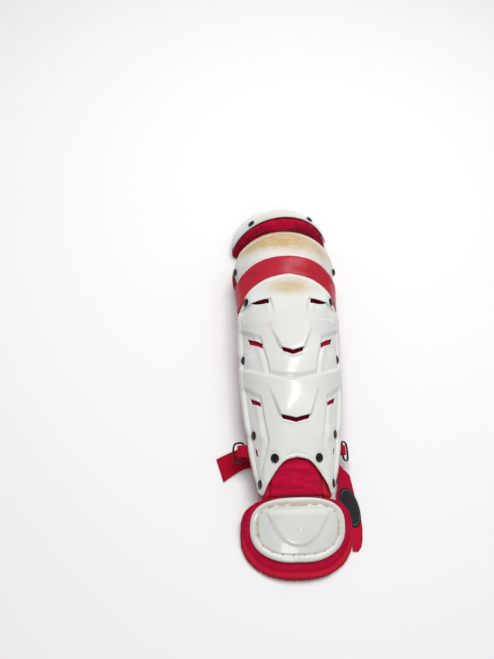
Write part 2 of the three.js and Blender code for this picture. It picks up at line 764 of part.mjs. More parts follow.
function toeGuard() {
  const padRows = [
    { inset: toeHalfWidth, lift: 0 },
    { inset: 0.5 * toeHalfWidth, lift: 0 },
    { inset: 1.12 * toeRoll, lift: 0 },
    { inset: 0.92 * toeRoll, lift: 0, roll: 0.55 },
    { inset: 0.5 * toeRoll, lift: 0, roll: 1 },
    { inset: 0.14 * toeRoll, lift: -0.2 * padThick, roll: 0.5 },
    { inset: 0, lift: -0.47 * padThick },
    { inset: 0.14 * toeRoll, lift: -0.77 * padThick },
    { inset: 0.5 * toeRoll, lift: -padThick },
    { inset: 0.5 * toeHalfWidth, lift: -padThick },
    { inset: toeHalfWidth, lift: -padThick },
  ];
  const padPoint = (turn, { inset, lift, roll = 0 }) => {
    const rolled = inset < 1.5 * toeRoll ? lerp(1, 0.3, smooth((Math.sin(turn) + 0.5) / 0.8)) : 1;
    const { x, y } = toeOutline(turn, toeCentre, toeHalfWidth, toeUp, toeDown, inset * rolled, toeSquare);
    const raised = toeRollHeight * roll * rolled * smooth((0.85 - Math.sin(turn)) / 0.4);
    return new THREE.Vector3(x, y, Math.max(toeHeight(x, y) + lift + raised, 0));
  };
  add("toe_pad", button(28, padRows, padPoint), redCloth);

  const plateRows = [
    { inset: toePlateHalfWidth, rise: 1 },
    { inset: 2.6 * toePlateRim, rise: 0.87 },
    { inset: toePlateRim, rise: 0.57 },
    { inset: 0.75 * toePlateRim, rise: 0.43 },
    { inset: 0.5 * toePlateRim, rise: 0.6 },
    { inset: 0.18 * toePlateRim, rise: 0.63 },
    { inset: 0, rise: 0.37 },
    { inset: 0.04 * toePlateRim, rise: 0 },
    { inset: 0.6 * toePlateRim, rise: 0 },
    { inset: 2.6 * toePlateRim, rise: 0.43 },
    { inset: toePlateHalfWidth, rise: 0.53 },
  ];
  const platePoint = (turn, { inset, rise }) => {
    const { x, y } = toeOutline(
      turn,
      toePlateCentre,
      toePlateHalfWidth,
      toePlateUp,
      toePlateDown,
      inset,
      toePlateSquare,
    );
    return new THREE.Vector3(x, y, toeHeight(x, y) + clearance + toePlateRise * rise);
  };
  add("toe_plate", button(28, plateRows, platePoint), white);
}

// The face of the shin lining's wing on one side, at a height above the floor.
function wingFace(hand, y, z) {
  const top = onArch(shinSection, linerReach * hand, y, -linerGap);
  return top.x - hand * wingTaper * (1 - z / top.z);
}

function rings() {
  for (const { side, hand, lean } of ringSides) {
    const face = wingFace(hand, ringAlong, ringHeight);
    const out = new THREE.Vector3(hand * Math.cos(lean), 0, -Math.sin(lean));
    const loop = ringWire / 2 + 2 * clearance + webThick / 2;
    const root = new THREE.Vector3(face + hand * (clearance + webThick / 2), ringAlong, ringHeight);
    const hub = root.clone().addScaledVector(new THREE.Vector3(hand, 0, 0), loop + tabReach);
    const up = new THREE.Vector3(0, 0, loop);
    const far = new THREE.Vector3(hand * loop, 0, 0);
    const route = [
      root,
      hub.clone().lerp(root, 0.4).addScaledVector(up, 0.7),
      hub.clone().add(up),
      hub.clone().add(far),
      hub.clone().sub(up),
      hub.clone().lerp(root, 0.5).sub(up),
      root.clone().sub(new THREE.Vector3(0, 0, 2 * loop + tabTail)),
    ];
    const wide = new THREE.Vector3(0, tabWidth, 0);
    add(`ring_tab_${side}`, ribbon(route, webThick, () => wide), redWebbing);
    const ring = add(`ring_${side}`, hoop(ringReach / 2, ringLength / 2, ringWire), gunmetal);
    ring.position.copy(hub).addScaledVector(out, ringReach / 2);
    ring.rotation.y = hand * lean;
  }
}

function straps() {
  const rest = clearance + webThick / 2;
  const face = wingFace(-1, ringAlong + strapWidth / 2, 0) - rest;
  const route = ankleRoute.map(
    ({ out, back, height }) =>
      new THREE.Vector3(face - out * strapReach, ringAlong - back * strapWidth, rest + height * ringHeight),
  );
  const wide = (u) => new THREE.Vector3(-0.32 * strapWidth * Math.max(2 * u - 1, 0), strapWidth, 0);
  add("ankle_strap", ribbon(route, webThick, wide), redWebbing);

  // Straps across the back of the leg: each runs down both wings' inner faces and along the floor.
  const backs = [
    { name: "calf_strap", y: shinY(0.62), shape: shinLining },
    { name: "knee_strap", y: capStart + 0.3 * capLength, shape: kneeLining },
  ];
  for (const { name, y, shape } of backs) {
    const onWing = (across, along) => liningAt(shape, across, along, linerThick + rest + clearance / 2);
    const half = [0.9, 0.93, 0.96, 0.98].map((across) => onWing(across, y));
    const low = half.at(-1);
    half.push(new THREE.Vector3(low.x - 1.2 * webThick, y, rest + 0.8 * webThick));
    half.push(new THREE.Vector3(low.x - 4 * webThick, y, rest + 0.1 * webThick));
    half.push(new THREE.Vector3(low.x - 8 * webThick, y, rest));
    const middle = new THREE.Vector3(0, y, rest);
    const mirrored = half.map((point) => new THREE.Vector3(-point.x, point.y, point.z)).reverse();
    const [before, after] = [onWing(0.94, y - backStrapWidth / 2), onWing(0.94, y + backStrapWidth / 2)];
    const slant = after.sub(before);
    const broad = (u) => new THREE.Vector3(slant.x * (1 - 2 * u), backStrapWidth, 0);
    add(name, ribbon([...half, middle, ...mirrored], webThick, broad), redWebbing);
  }
}

// The cloth panel from the right-hand ring to the floor beside the toe, and the patch sewn on it.
function instep() {
  const from = ringAlong - ringLength / 2 - 2 * webThick;
  const to = toeCentre - panelRunOn;
  const place = (across, along, lift) => {
    const row = (column) => toeHalfWidth * sample(instepProfile, column, along);
    const y = lerp(from, to, along);
    const sewn = wingFace(1, y, row("height")) + clearance;
    const inner = lerp(sewn, row("inner"), smooth(4 * along));
    return new THREE.Vector3(lerp(inner, row("outer"), (1 - across) / 2), y, row("height") + lift);
  };
  const panel = slab(
    5,
    14,
    (across, along) => place(across, along, panelThick),
    (across, along) => place(across, along, 0),
  );
  add("instep_panel", panel, redCloth);
  const centre = { x: toeHalfWidth * patchPlace.across, y: lerp(from, to, patchPlace.along) };
  const tilt = rad(patchTurn);
  const onPanel = (turn, { share, lift }) => {
    const a = (patchWidth / 2) * share * Math.cos(turn);
    const b = (patchLength / 2) * share * Math.sin(turn);
    const x = centre.x + a * Math.cos(tilt) - b * Math.sin(tilt);
    const y = centre.y + a * Math.sin(tilt) + b * Math.cos(tilt);
    const along = (y - from) / (to - from);
    return new THREE.Vector3(x, y, toeHalfWidth * sample(instepProfile, "height", along) + panelThick + lift);
  };
  const patchRows = [
    { share: 0, lift: clearance + patchThick },
    { share: 0.6, lift: clearance + patchThick },
    { share: 0.96, lift: clearance + patchThick },
    { share: 1, lift: clearance + 0.1 },
    { share: 0.6, lift: clearance },
    { share: 0, lift: clearance },
  ];
  add("instep_patch", button(20, patchRows, onPanel), blackCloth);
}

shinShell();
kneeCap();
kneeBand();
liners();
thighLinks(thighGuard());
toeGuard();
rings();
straps();
instep();

// The origin is the middle of the guard's underside.
guard.updateMatrixWorld(true);
const bounds = new THREE.Box3().setFromObject(guard, true);
const centre = bounds.getCenter(new THREE.Vector3());
guard.position.set(-centre.x, -centre.y, -bounds.min.z);

export default guard;
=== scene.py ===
import math

import bmesh
import bpy
import numpy as np
from mathutils import Matrix, Vector


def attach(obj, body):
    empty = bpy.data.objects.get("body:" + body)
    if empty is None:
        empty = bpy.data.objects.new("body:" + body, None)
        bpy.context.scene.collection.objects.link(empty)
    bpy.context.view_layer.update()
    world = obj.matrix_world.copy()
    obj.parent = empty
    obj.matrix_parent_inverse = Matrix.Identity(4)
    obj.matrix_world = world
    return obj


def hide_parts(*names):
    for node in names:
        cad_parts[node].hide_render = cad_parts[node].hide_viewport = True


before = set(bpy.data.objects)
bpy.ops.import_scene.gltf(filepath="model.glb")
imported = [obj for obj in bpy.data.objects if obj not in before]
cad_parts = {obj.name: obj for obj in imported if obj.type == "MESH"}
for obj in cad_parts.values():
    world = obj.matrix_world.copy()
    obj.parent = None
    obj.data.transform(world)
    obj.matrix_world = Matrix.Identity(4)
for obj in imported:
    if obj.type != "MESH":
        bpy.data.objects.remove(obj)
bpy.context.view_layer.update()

# Lengths are in millimetres in the guard's own frame: x across, y from toe to thigh, z up from the floor.
origin = np.array([8.469, -141.388, 0.0])  # from the guard's own frame to the part's


def placed(points):
    return (np.asarray(points, float) + origin) / 1000


def unplaced(points):
    return np.asarray(points, float) * 1000 - origin


def smooth(t):
    t = np.clip(t, 0, 1)
    return t * t * (3 - 2 * t)


def lerp(a, b, t):
    return a + (b - a) * t


def stack(x, y, z):
    return np.stack(np.broadcast_arrays(x, y, z), axis=-1).astype(float)


def unit(v):
    return v / np.maximum(np.linalg.norm(v, axis=-1, keepdims=True), 1e-9)


def curve(xs, ys):
    # a smooth line through the points, level or sloping as its neighbours ask
    xs, ys = np.array(xs, float), np.array(ys, float)
    last = len(xs) - 1
    low = np.maximum(np.arange(last + 1) - 1, 0)
    high = np.minimum(np.arange(last + 1) + 1, last)
    slopes = (ys[high] - ys[low]) / (xs[high] - xs[low])

    def at(place):
        place = np.clip(place, xs[0], xs[-1])
        k = np.clip(np.searchsorted(xs, place, side="right") - 1, 0, last - 1)
        span = xs[k + 1] - xs[k]
        u = (place - xs[k]) / span
        p, q, m, n = ys[k], ys[k + 1], slopes[k] * span, slopes[k + 1] * span
        return p + u * (m + u * (3 * (q - p) - 2 * m - n + u * (2 * (p - q) + m + n)))

    return at


def finished(name, bm, material, nodes=()):
    mesh = bpy.data.meshes.new(name)
    bm.to_mesh(mesh)
    bm.free()
    obj = bpy.data.objects.new(name, mesh)
    bpy.context.scene.collection.objects.link(obj)
    mesh.materials.append(material)
    mesh.polygons.foreach_set("use_smooth", [True] * len(mesh.polygons))
    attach(obj, "root")
    if nodes:
        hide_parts(*nodes)
    return obj


def baked(obj):
    # the piece with its modifiers worked into its mesh
    graph = bpy.context.evaluated_depsgraph_get()
    ended = obj.evaluated_get(graph)
    mesh = bpy.data.meshes.new_from_object(ended, preserve_all_data_layers=True, depsgraph=graph)
    old = obj.data
    obj.modifiers.clear()
    obj.data = mesh
    bpy.data.meshes.remove(old)
    return obj


def coordsOf(mesh):
    flat = np.empty(len(mesh.vertices) * 3)
    mesh.vertices.foreach_get("co", flat)
    return flat.reshape(-1, 3)


def setCoords(mesh, coords):
    mesh.vertices.foreach_set("co", np.asarray(coords, float).ravel())
    mesh.update()


def normalsOf(mesh):
    flat = np.empty(len(mesh.vertices) * 3)
    mesh.vertices.foreach_get("normal", flat)
    return flat.reshape(-1, 3)


def setMask(obj, name, values):
    mask = obj.data.attributes.new(name, "FLOAT", "POINT")
    mask.data.foreach_set("value", np.clip(values, 0, 1).astype(np.float32))


def gridMesh(columns, rows, surface, uvSize=(1, 1)):
    # a sheet over surface(across -1 to 1, along 0 to 1), its UV map in metres along the cloth
    bm = bmesh.new()
    bmesh.ops.create_grid(bm, x_segments=columns, y_segments=rows, size=1)
    uv = bm.loops.layers.uv.new("weave")
    for face in bm.faces:
        for loop in face.loops:
            loop[uv].uv = (loop.vert.co.x * uvSize[0] / 2000, loop.vert.co.y * uvSize[1] / 2000)
    flat = np.array([v.co[:2] for v in bm.verts])
    for vert, point in zip(bm.verts, placed(surface(flat[:, 0], (flat[:, 1] + 1) / 2))):
        vert.co = point
    return bm


def slabMesh(columns, rows, outer, inner):
    # a closed pad between two surfaces
    bm = bmesh.new()
    bmesh.ops.create_grid(bm, x_segments=columns, y_segments=rows, size=1)
    across = bm.verts.layers.float.new("across")
    along = bm.verts.layers.float.new("along")
    for vert in bm.verts:
        vert[across], vert[along] = vert.co.x, (vert.co.y + 1) / 2
    grown = bmesh.ops.extrude_face_region(bm, geom=bm.faces[:], use_keep_orig=True)
    top = [g for g in grown["geom"] if isinstance(g, bmesh.types.BMVert)]
    low = [v for v in bm.verts if v not in set(top)]
    for verts, surface in ((top, outer), (low, inner)):
        a = np.array([v[across] for v in verts])
        b = np.array([v[along] for v in verts])
        for vert, point in zip(verts, placed(surface(a, b))):
            vert.co = point
    bmesh.ops.recalc_face_normals(bm, faces=bm.faces)
    return bm


def buttonMesh(segments, rings, point):
    # a round body: point(turn, row) with row 0 at its top pole and 1 at its bottom pole
    bm = bmesh.new()
    bmesh.ops.create_uvsphere(bm, u_segments=segments, v_segments=rings, radius=1)
    flat = np.array([v.co[:] for v in bm.verts])
    turn = np.arctan2(flat[:, 1], flat[:, 0])
    row = np.arccos(np.clip(flat[:, 2], -1, 1)) / math.pi
    for vert, place in zip(bm.verts, placed(point(turn, row))):
        vert.co = place
    bmesh.ops.recalc_face_normals(bm, faces=bm.faces)
    return bm


def wall(obj, thick):
    # gives a sheet its thickness inwards
    solid = obj.modifiers.new("wall", "SOLIDIFY")
    solid.thickness = thick / 1000
    solid.offset = -1
    solid.use_even_offset = False
    return baked(obj)


def plateOf(name, look, face, stuff, node, thick):
    return wall(finished(name, gridMesh(look["columns"], look["rows"], face), stuff, [node]), thick)


def spun(bm, steps, dist):
    geom = bm.verts[:] + bm.edges[:]
    axis = (0, 0, 1)
    bmesh.ops.spin(bm, geom=geom, cent=(0, 0, 0), axis=axis, angle=math.tau, steps=steps, use_merge=True)
    bmesh.ops.remove_doubles(bm, verts=bm.verts, dist=dist)
    bmesh.ops.recalc_face_normals(bm, faces=bm.faces)


def setDown(bm, verts, place, turned):
    # turns the points, modelled in millimetres, and moves them to their place
    matrix = Matrix.Translation(placed(place)) @ turned @ Matrix.Scale(0.001, 4)
    bmesh.ops.transform(bm, matrix=matrix, verts=verts)


# Materials
def material(name, settings):
    # the settings go on the shader's own sockets, and the rest is drawn in the tree
    made = bpy.data.materials.new(name)
    made.use_nodes = True
    shader = made.node_tree.nodes["Principled BSDF"]
    for socket, value in settings.items():
        shader.inputs[socket].default_value = value
    return made, made.node_tree, shader


def feed(tree, socket, value):
    if isinstance(value, (int, float)):
        socket.default_value = value
    elif isinstance(value, tuple):
        socket.default_value = (*value, 1)
    else:
        tree.links.new(value, socket)


def node(tree, kind, settings, output="Fac"):
    made = tree.nodes.new("ShaderNode" + kind)
    for socket, value in settings.items():
        if hasattr(value, "is_linked"):
            tree.links.new(value, made.inputs[socket])
        else:
            made.inputs[socket].default_value = value
    return made.outputs[output]


def objectPlace(tree, scale=(1, 1, 1)):
    place = tree.nodes.new("ShaderNodeTexCoord").outputs["Object"]
    return node(tree, "Mapping", {"Vector": place, "Scale": scale}, "Vector")


def noise(tree, vector, scale, detail=3, rough=0.5):
    return node(tree, "TexNoise", {"Vector": vector, "Scale": scale, "Detail": detail, "Roughness": rough})


def ramp(tree, value, stops):
    made = tree.nodes.new("ShaderNodeValToRGB")
    while len(made.color_ramp.elements) < len(stops):
        made.color_ramp.elements.new(0.5)
    for element, (at, colour) in zip(made.color_ramp.elements, stops):
        element.position = at
        element.color = (*colour, 1)
    tree.links.new(value, made.inputs["Fac"])
    return made.outputs["Color"]


def grey(a, b, low=0.3, high=0.7):
    return [(low, (a,) * 3), (high, (b,) * 3)]


def mixed(tree, factor, a, b):
    made = tree.nodes.new("ShaderNodeMix")
    made.data_type = "RGBA"
    for socket, value in (("Factor", factor), ("A", a), ("B", b)):
        feed(tree, made.inputs[socket], value)
    return made.outputs["Result"]


def reckoned(tree, a, b, mode="MULTIPLY"):
    made = tree.nodes.new("ShaderNodeMath")
    made.operation = mode
    for socket, value in zip(made.inputs, (a, b)):
        feed(tree, socket, value)
    return made.outputs["Value"]


def maskOf(tree, name):
    made = tree.nodes.new("ShaderNodeAttribute")
    made.attribute_name = name
    return made.outputs["Fac"]


def bump(tree, height, distance, strength, shader):
    settings = {"Distance": distance, "Strength": strength, "Height": height}
    tree.links.new(node(tree, "Bump", settings, "Normal"), shader.inputs["Normal"])


plasticLook = {
    "white": (0.83, 0.83, 0.80),
    "shade": (0.76, 0.76, 0.73),
    "stain": (0.58, 0.38, 0.13),
    "grime": (0.47, 0.36, 0.22),
    "gloss": {"Coat Weight": 0.6, "Coat Roughness": 0.1},
}
redLook = {
    "dark": (0.46, 0.012, 0.03),
    "light": (0.56, 0.018, 0.042),
    "worn": (0.62, 0.2, 0.17),
    "gloss": {"Coat Weight": 0.3, "Coat Roughness": 0.2, "Specular IOR Level": 0.35},
}
clothLook = {
    "dark": (0.40, 0.002, 0.022),
    "light": (0.64, 0.008, 0.06),
    "binding": (0.64, 0.03, 0.035),
    # painted shade: the colour the cloth's seams, wrinkle troughs and undersides are darkened towards
    "paintedShade": (0.16, 0.0, 0.008),
    "crinkle": 9.0,
    "nap": {
        "Roughness": 0.9, "Specular IOR Level": 0.15,
        "Sheen Weight": 0.1, "Sheen Roughness": 0.5, "Sheen Tint": (1.0, 0.45, 0.5, 1),
    },
}
webbingLook = {
    "pitch": {"X": 0.0011, "Y": 0.0016},  # metres from thread to thread
    "red": ((0.36, 0.002, 0.018), (0.62, 0.008, 0.035)),
    # painted shade: a darkened copy of the red webbing for the thigh links, which sit in shadow under the
    # thigh pad
    "dark": ((0.16, 0.0005, 0.008), (0.3, 0.002, 0.016)),
    "nap": {"Roughness": 0.75, "Sheen Weight": 0.05, "Specular IOR Level": 0.15},
}


def mouldedWhite(look):
    made, tree, shader = material("mouldedWhite", look["gloss"])
    at = objectPlace(tree)
    colour = ramp(tree, noise(tree, at, 14, 4), [(0.35, look["shade"]), (0.6, look["white"])])
    fibres = noise(tree, objectPlace(tree, (1, 5, 5)), 55, 6, 0.65)
    amount = reckoned(tree, maskOf(tree, "stain"), ramp(tree, fibres, grey(0.6, 1.0, 0.32, 0.66)))
    colour = mixed(tree, amount, colour, look["stain"])
    blots = ramp(tree, noise(tree, at, 120, 5, 0.7), grey(0, 1, 0.45, 0.62))
    colour = mixed(tree, reckoned(tree, maskOf(tree, "grime"), blots), colour, look["grime"])
    feed(tree, shader.inputs["Base Color"], colour)
    scuffs = noise(tree, objectPlace(tree, (1, 0.25, 1)), 260, 6, 0.7)
    feed(tree, shader.inputs["Roughness"], ramp(tree, scuffs, grey(0.13, 0.28, 0.3, 0.75)))
    bump(tree, noise(tree, at, 45, 2), 0.0012, 0.22, shader)
    return made


def mouldedRed(look):
    made, tree, shader = material("mouldedRed", look["gloss"])
    at = objectPlace(tree)
    colour = ramp(tree, noise(tree, at, 30, 4), [(0.3, look["dark"]), (0.7, look["light"])])
    wear = ramp(tree, noise(tree, at, 160, 6, 0.7), grey(0, 0.5, 0.55, 0.72))
    colour = mixed(tree, reckoned(tree, maskOf(tree, "grime"), wear), colour, look["worn"])
    feed(tree, shader.inputs["Base Color"], colour)
    feed(tree, shader.inputs["Roughness"], ramp(tree, noise(tree, at, 200, 5), grey(0.2, 0.36)))
    bump(tree, noise(tree, at, 60, 2), 0.0008, 0.2, shader)
    return made


def brushedCloth(look):
    made, tree, shader = material("brushedRed", look["nap"])
    at = objectPlace(tree)
    nap = noise(tree, at, 60, 6, 0.7)
    colour = ramp(tree, nap, [(0.3, look["dark"]), (0.7, look["light"])])
    colour = mixed(tree, maskOf(tree, "binding"), colour, look["binding"])
    # painted shade, darkening the cloth in its seams, wrinkle troughs and undersides
    colour = mixed(tree, reckoned(tree, maskOf(tree, "paintedShade"), 0.75), colour, look["paintedShade"])
    fuzz = noise(tree, at, 1100, 3, 0.8)
    colour = mixed(tree, 0.35, colour, ramp(tree, fuzz, [(0.3, look["dark"]), (0.75, look["light"])]))
    feed(tree, shader.inputs["Base Color"], colour)
    crinkles = noise(tree, objectPlace(tree, (0.22, 1, 0.5)), 260, 3, 0.5)
    worn = reckoned(tree, reckoned(tree, crinkles, maskOf(tree, "crinkle")), look["crinkle"])
    height = reckoned(tree, fuzz, reckoned(tree, nap, 2.0), "ADD")
    bump(tree, reckoned(tree, height, worn, "ADD"), 0.0006, 0.5, shader)
    return made


def wovenWebbing(name, look, dark, light):
    made, tree, shader = material(name, look["nap"])
    uv = tree.nodes.new("ShaderNodeUVMap")
    uv.uv_map = "weave"
    waves = []
    for axis, pitch in look["pitch"].items():
        wave = tree.nodes.new("ShaderNodeTexWave")
        wave.wave_type = "BANDS"
        wave.bands_direction = axis
        wave.inputs["Scale"].default_value = 0.314 / pitch
        wave.inputs["Distortion"].default_value = 0.3
        tree.links.new(uv.outputs["UV"], wave.inputs["Vector"])
        waves.append(wave.outputs["Fac"])
    weave = reckoned(tree, *waves)
    worn = ramp(tree, noise(tree, objectPlace(tree), 70, 4), grey(0, 0.5, 0.4, 0.75))
    feed(tree, shader.inputs["Base Color"], mixed(tree, worn, mixed(tree, weave, dark, light), dark))
    bump(tree, weave, 0.0003, 0.6, shader)
    return made


def plainStuff(name, settings, tone, stops, rough=None, relief=None):
    # one noise for the colour, one for the roughness, and the first again for the relief
    made, tree, shader = material(name, settings)
    at = objectPlace(tree)
    grain = noise(tree, at, *tone)
    feed(tree, shader.inputs["Base Color"], ramp(tree, grain, stops))
    if rough:
        scale, detail, low, high = rough
        feed(tree, shader.inputs["Roughness"], ramp(tree, noise(tree, at, scale, detail), grey(low, high)))
    if relief:
        bump(tree, grain, *relief, shader)
    return made


white = mouldedWhite(plasticLook)
red = mouldedRed(redLook)
cloth = brushedCloth(clothLook)
# the darkened webbing is painted shade, a shaded copy of the red
shadedWebbing = wovenWebbing("wovenRedShaded", webbingLook, *webbingLook["dark"])
webbing = wovenWebbing("wovenRed", webbingLook, *webbingLook["red"])
blackRubber = plainStuff(
    "rubberPatch", {}, (700, 4, 0.7), [(0.3, (0.008, 0.008, 0.01)), (0.7, (0.028, 0.027, 0.03))],
    (90, 4, 0.45, 0.7), (0.0004, 0.4),
)
gunmetal = plainStuff(
    "gunmetalPlate", {"Metallic": 1.0}, (240, 5, 0.65),
    [(0.3, (0.028, 0.026, 0.026)), (0.6, (0.075, 0.07, 0.066)), (0.8, (0.2, 0.17, 0.14))],
    (500, 4, 0.25, 0.5), (0.0002, 0.3),
)
creamStops = [(0.3, (0.42, 0.32, 0.17)), (0.7, (0.66, 0.56, 0.38))]
thread = plainStuff("threadCream", {"Roughness": 0.8}, (400, 4), creamStops)
blackThread = plainStuff("threadGrey", {"Roughness": 0.7}, (500, 3), grey(0.14, 0.34))
print("materials made")

# The arched sections that the shell, the cap and the linings share
wrap = 1.25
clearance = 0.4
shellWall = 2.8
shell = {"length": 304, "foot": -50, "half": 78, "crown": 107, "edge": 72, "arch": 44, "drop": 56}
cap = {"length": 130, "start": 215, "half": 80, "crown": 111.2, "edge": 74}
shellAlong = [0, 0.08, 0.18, 0.28, 0.42, 0.58, 0.73, 0.84, 1]
shellHalf = curve(shellAlong, [0.69, 0.737, 0.814, 0.865, 0.93, 0.974, 0.981, 0.987, 1])
shellCrown = curve(shellAlong, [0.57, 0.617, 0.682, 0.743, 0.822, 0.897, 0.953, 0.981, 1])
shellEdge = curve(shellAlong, [0.46, 0.53, 0.583, 0.625, 0.667, 0.722, 0.792, 0.875, 1])
capAlong = [0, 0.29, 0.42, 0.54, 0.65, 0.75, 0.83, 0.91, 0.96, 1]
capHalf = curve(capAlong, [0.862, 0.902, 0.96, 1, 0.988, 0.931, 0.825, 0.662, 0.488, 0.3])
capCrown = curve(capAlong, [0.885, 0.899, 0.943, 0.982, 1, 0.996, 0.964, 0.895, 0.814, 0.728])
capEdge = curve(capAlong, [0.784, 0.77, 0.757, 0.757, 0.77, 0.811, 0.865, 0.919, 0.966, 0.985])
riseAcross = [0, 0.2, 0.4, 0.6, 0.7, 0.78, 0.88, 0.95, 1]
shellRise = curve(riseAcross, [1, 0.91, 0.61, 0.24, 0.06, 0, 0.08, 0.25, 0.5])
shellFall = curve([0, 0.33, 0.58, 0.76, 0.88, 1], [0, 0.12, 0.31, 0.52, 0.75, 1])


def shellSize(y):
    at = (y - shell["foot"]) / shell["length"]
    return shell["half"] * shellHalf(at), shell["crown"] * shellCrown(at), shell["edge"] * shellEdge(at)


def capSize(y):
    at = (y - cap["start"]) / cap["length"]
    return cap["half"] * capHalf(at), cap["crown"] * capCrown(at), cap["edge"] * capEdge(at)


def plainArch(size, across, y):
    half, crown, edge = size(y)
    fall = (1 - np.cos(across * wrap)) / (1 - math.cos(wrap))
    return stack(half * np.sin(across * wrap) / math.sin(wrap), y, crown - (crown - edge) * fall)


def outward(size, across, y):
    sideways = plainArch(size, across + 0.01, y) - plainArch(size, across - 0.01, y)
    lengthways = plainArch(size, across, y + 1) - plainArch(size, across, y - 1)
    return unit(np.cross(sideways, lengthways))


def onArch(size, across, y, lift=0.0):
    lift = np.asarray(lift, float)
    return plainArch(size, across, y) + outward(size, across, y) * lift[..., None]


def acrossOf(size, x, y):
    return np.arcsin(np.clip(x / size(y)[0] * math.sin(wrap), -1, 1)) / wrap


def shellLower(across):
    return shell["foot"] + shell["arch"] * shellRise(np.abs(across))


def shellUpper(across):
    return shell["foot"] + shell["length"] - shell["drop"] * shellFall(np.abs(across))


shellRelief = {
    "recess": 3.0, "step": 1.5, "rimLip": 8.0,
    # where a lap runs at the middle, how far it climbs at the sides, and how steeply
    "steps": [(181.5, 7.5, 2), (95, 20, 1.6)],
    # foot y, root y, half width at the foot and at the root, height, how far the foot's middle dips
    "panels": [
        (138.8, 181.4, 15.8, 33.5, 4.0, 5),
        (47.9, 97.1, 19.8, 37.0, 4.2, 5),
    ],
    # upper edge (x, y) out and in, the inner edge's (y, x) upwards, where it fades out, its riser
    "fields": [
        ((67.5, 177.5), (42.5, 160.7), [(100, 30), (126, 34.5), (145, 39.8), (158, 42)], None, 8.5),
        ((68, 96), (45, 78), [(-40, 48), (-9.5, 42), (16, 35.3), (50, 41), (70, 44)], (-44, -20), 9.0),
        ((60, 211.5), (29, 216.5), [(180, 19), (226, 29.8)], (181, 214), 2.2),
    ],
}


def lapLine(k, s):
    middle, rise, power = shellRelief["steps"][k]
    return middle + rise * (s / 62) ** power


def relief(across, x, y):
    s = np.abs(x)
    side = np.abs(across)
    lift = np.zeros_like(x)
    for k in (0, 1):
        below = lapLine(k, s) - y
        drawn = smooth(below / 1.7) * smooth(1 - below / 46) * smooth((0.86 - side) / 0.2)
        lift += shellRelief["step"] * drawn
    for foot, root, footHalf, rootHalf, height, dip in shellRelief["panels"]:
        run = (y - foot) / (root - foot)
        half = lerp(footHalf, rootHalf, np.clip(run, 0, 1.1))
        low = foot - dip * (1 - s / footHalf)
        inside = smooth((half - s) / lerp(5.4, 2.4, np.clip(run, 0, 1)) + 0.5)
        lift += np.where(run <= 1, height * smooth(1 - run) * inside * smooth((y - low) / 2.6 + 0.5), 0)
        lip = low - 6.6 - y  # the rolled edge under a vent
        lift += 0.7 * np.exp(-((lip / 1.3) ** 2)) * smooth((footHalf - s) / 4)
    sunk = np.zeros_like(x)
    for (outX, outY), (inX, inY), inner, fading, riser in shellRelief["fields"]:
        upper = inY + (outY - inY) * (s - inX) / (outX - inX)
        edge = np.interp(y, [p[0] for p in inner], [p[1] for p in inner])
        start, reach = (fading[0], fading[1] - fading[0]) if fading else (lapLine(1, s), 1.2)
        fade = smooth((y - start) / reach)
        floor = smooth((s - edge) / 2.3) - 0.38 * np.exp(-(((s - edge - 8.5) / 4) ** 2))
        sunk = np.maximum(sunk, shellRelief["recess"] * fade * floor * smooth((upper - y) / riser))
    pastLap = y - lapLine(1, s)
    foot = 3.0 * smooth(1 - (pastLap - 1) / 7.5) * smooth(pastLap / 1.2) * smooth((34 - s) / 3)
    lift -= np.maximum(sunk, foot) * smooth((0.93 - side) / 0.09)
    toSide = (1 - side) * 95
    bead = smooth((13.5 - toSide) / 1.8) * smooth((toSide - 2) / 4)
    lift += 0.7 * bead * smooth((shellUpper(across) - 14 - y) / 10)
    lift -= 0.5 * np.exp(-(((toSide - 14.5) / 1.2) ** 2)) * smooth((shellUpper(across) - 18 - y) / 10)
    toTop = (shellUpper(across) - y) * (1 - 0.35 * side)
    lift -= 1.3 * smooth(1 - np.abs(toTop - shellRelief["rimLip"]) / 1.8)
    lift -= 0.9 * smooth(1 - np.abs(toTop - shellRelief["rimLip"] - 4.5) / 1.5)
    lift -= 1.2 * smooth(1 - toTop / 1.6)
    toFoot = y - shellLower(across)
    footGroove = smooth(1 - np.abs(toFoot - 5) / 2.5) * smooth((0.7 - side) / 0.2)
    lift -= 1.0 * smooth(1 - toFoot / 1.8) + 0.5 * footGroove
    lift -= 0.9 * smooth(1 - toSide / 1.4)
    for _, rx, ry, tilt in shellRivets:
        near = np.hypot(s - rx, y - ry)
        lift -= 0.4 * smooth(1 - np.abs(near - 7.0) / 1.4) + tilt * (s - rx) * np.exp(-((near / 10) ** 2))
    return lift


shellRivets = [  # name, x, y, and how far its seat leans outwards
    ("top", 62.5, 217.2, 0.55), ("calf", 70.0, 133.9, 0.55), ("low", 57.5, 26.6, 0.5),
    ("arch", 29.0, -6.2, 0.2), ("tip", 49.0, -36.0, 0.5),
]


def onShell(across, y, depth=0.0):
    across, y = np.broadcast_arrays(np.asarray(across, float), np.asarray(y, float))
    x = plainArch(shellSize, across, y)[..., 0]
    return onArch(shellSize, across, y, relief(across, x, y) - depth)


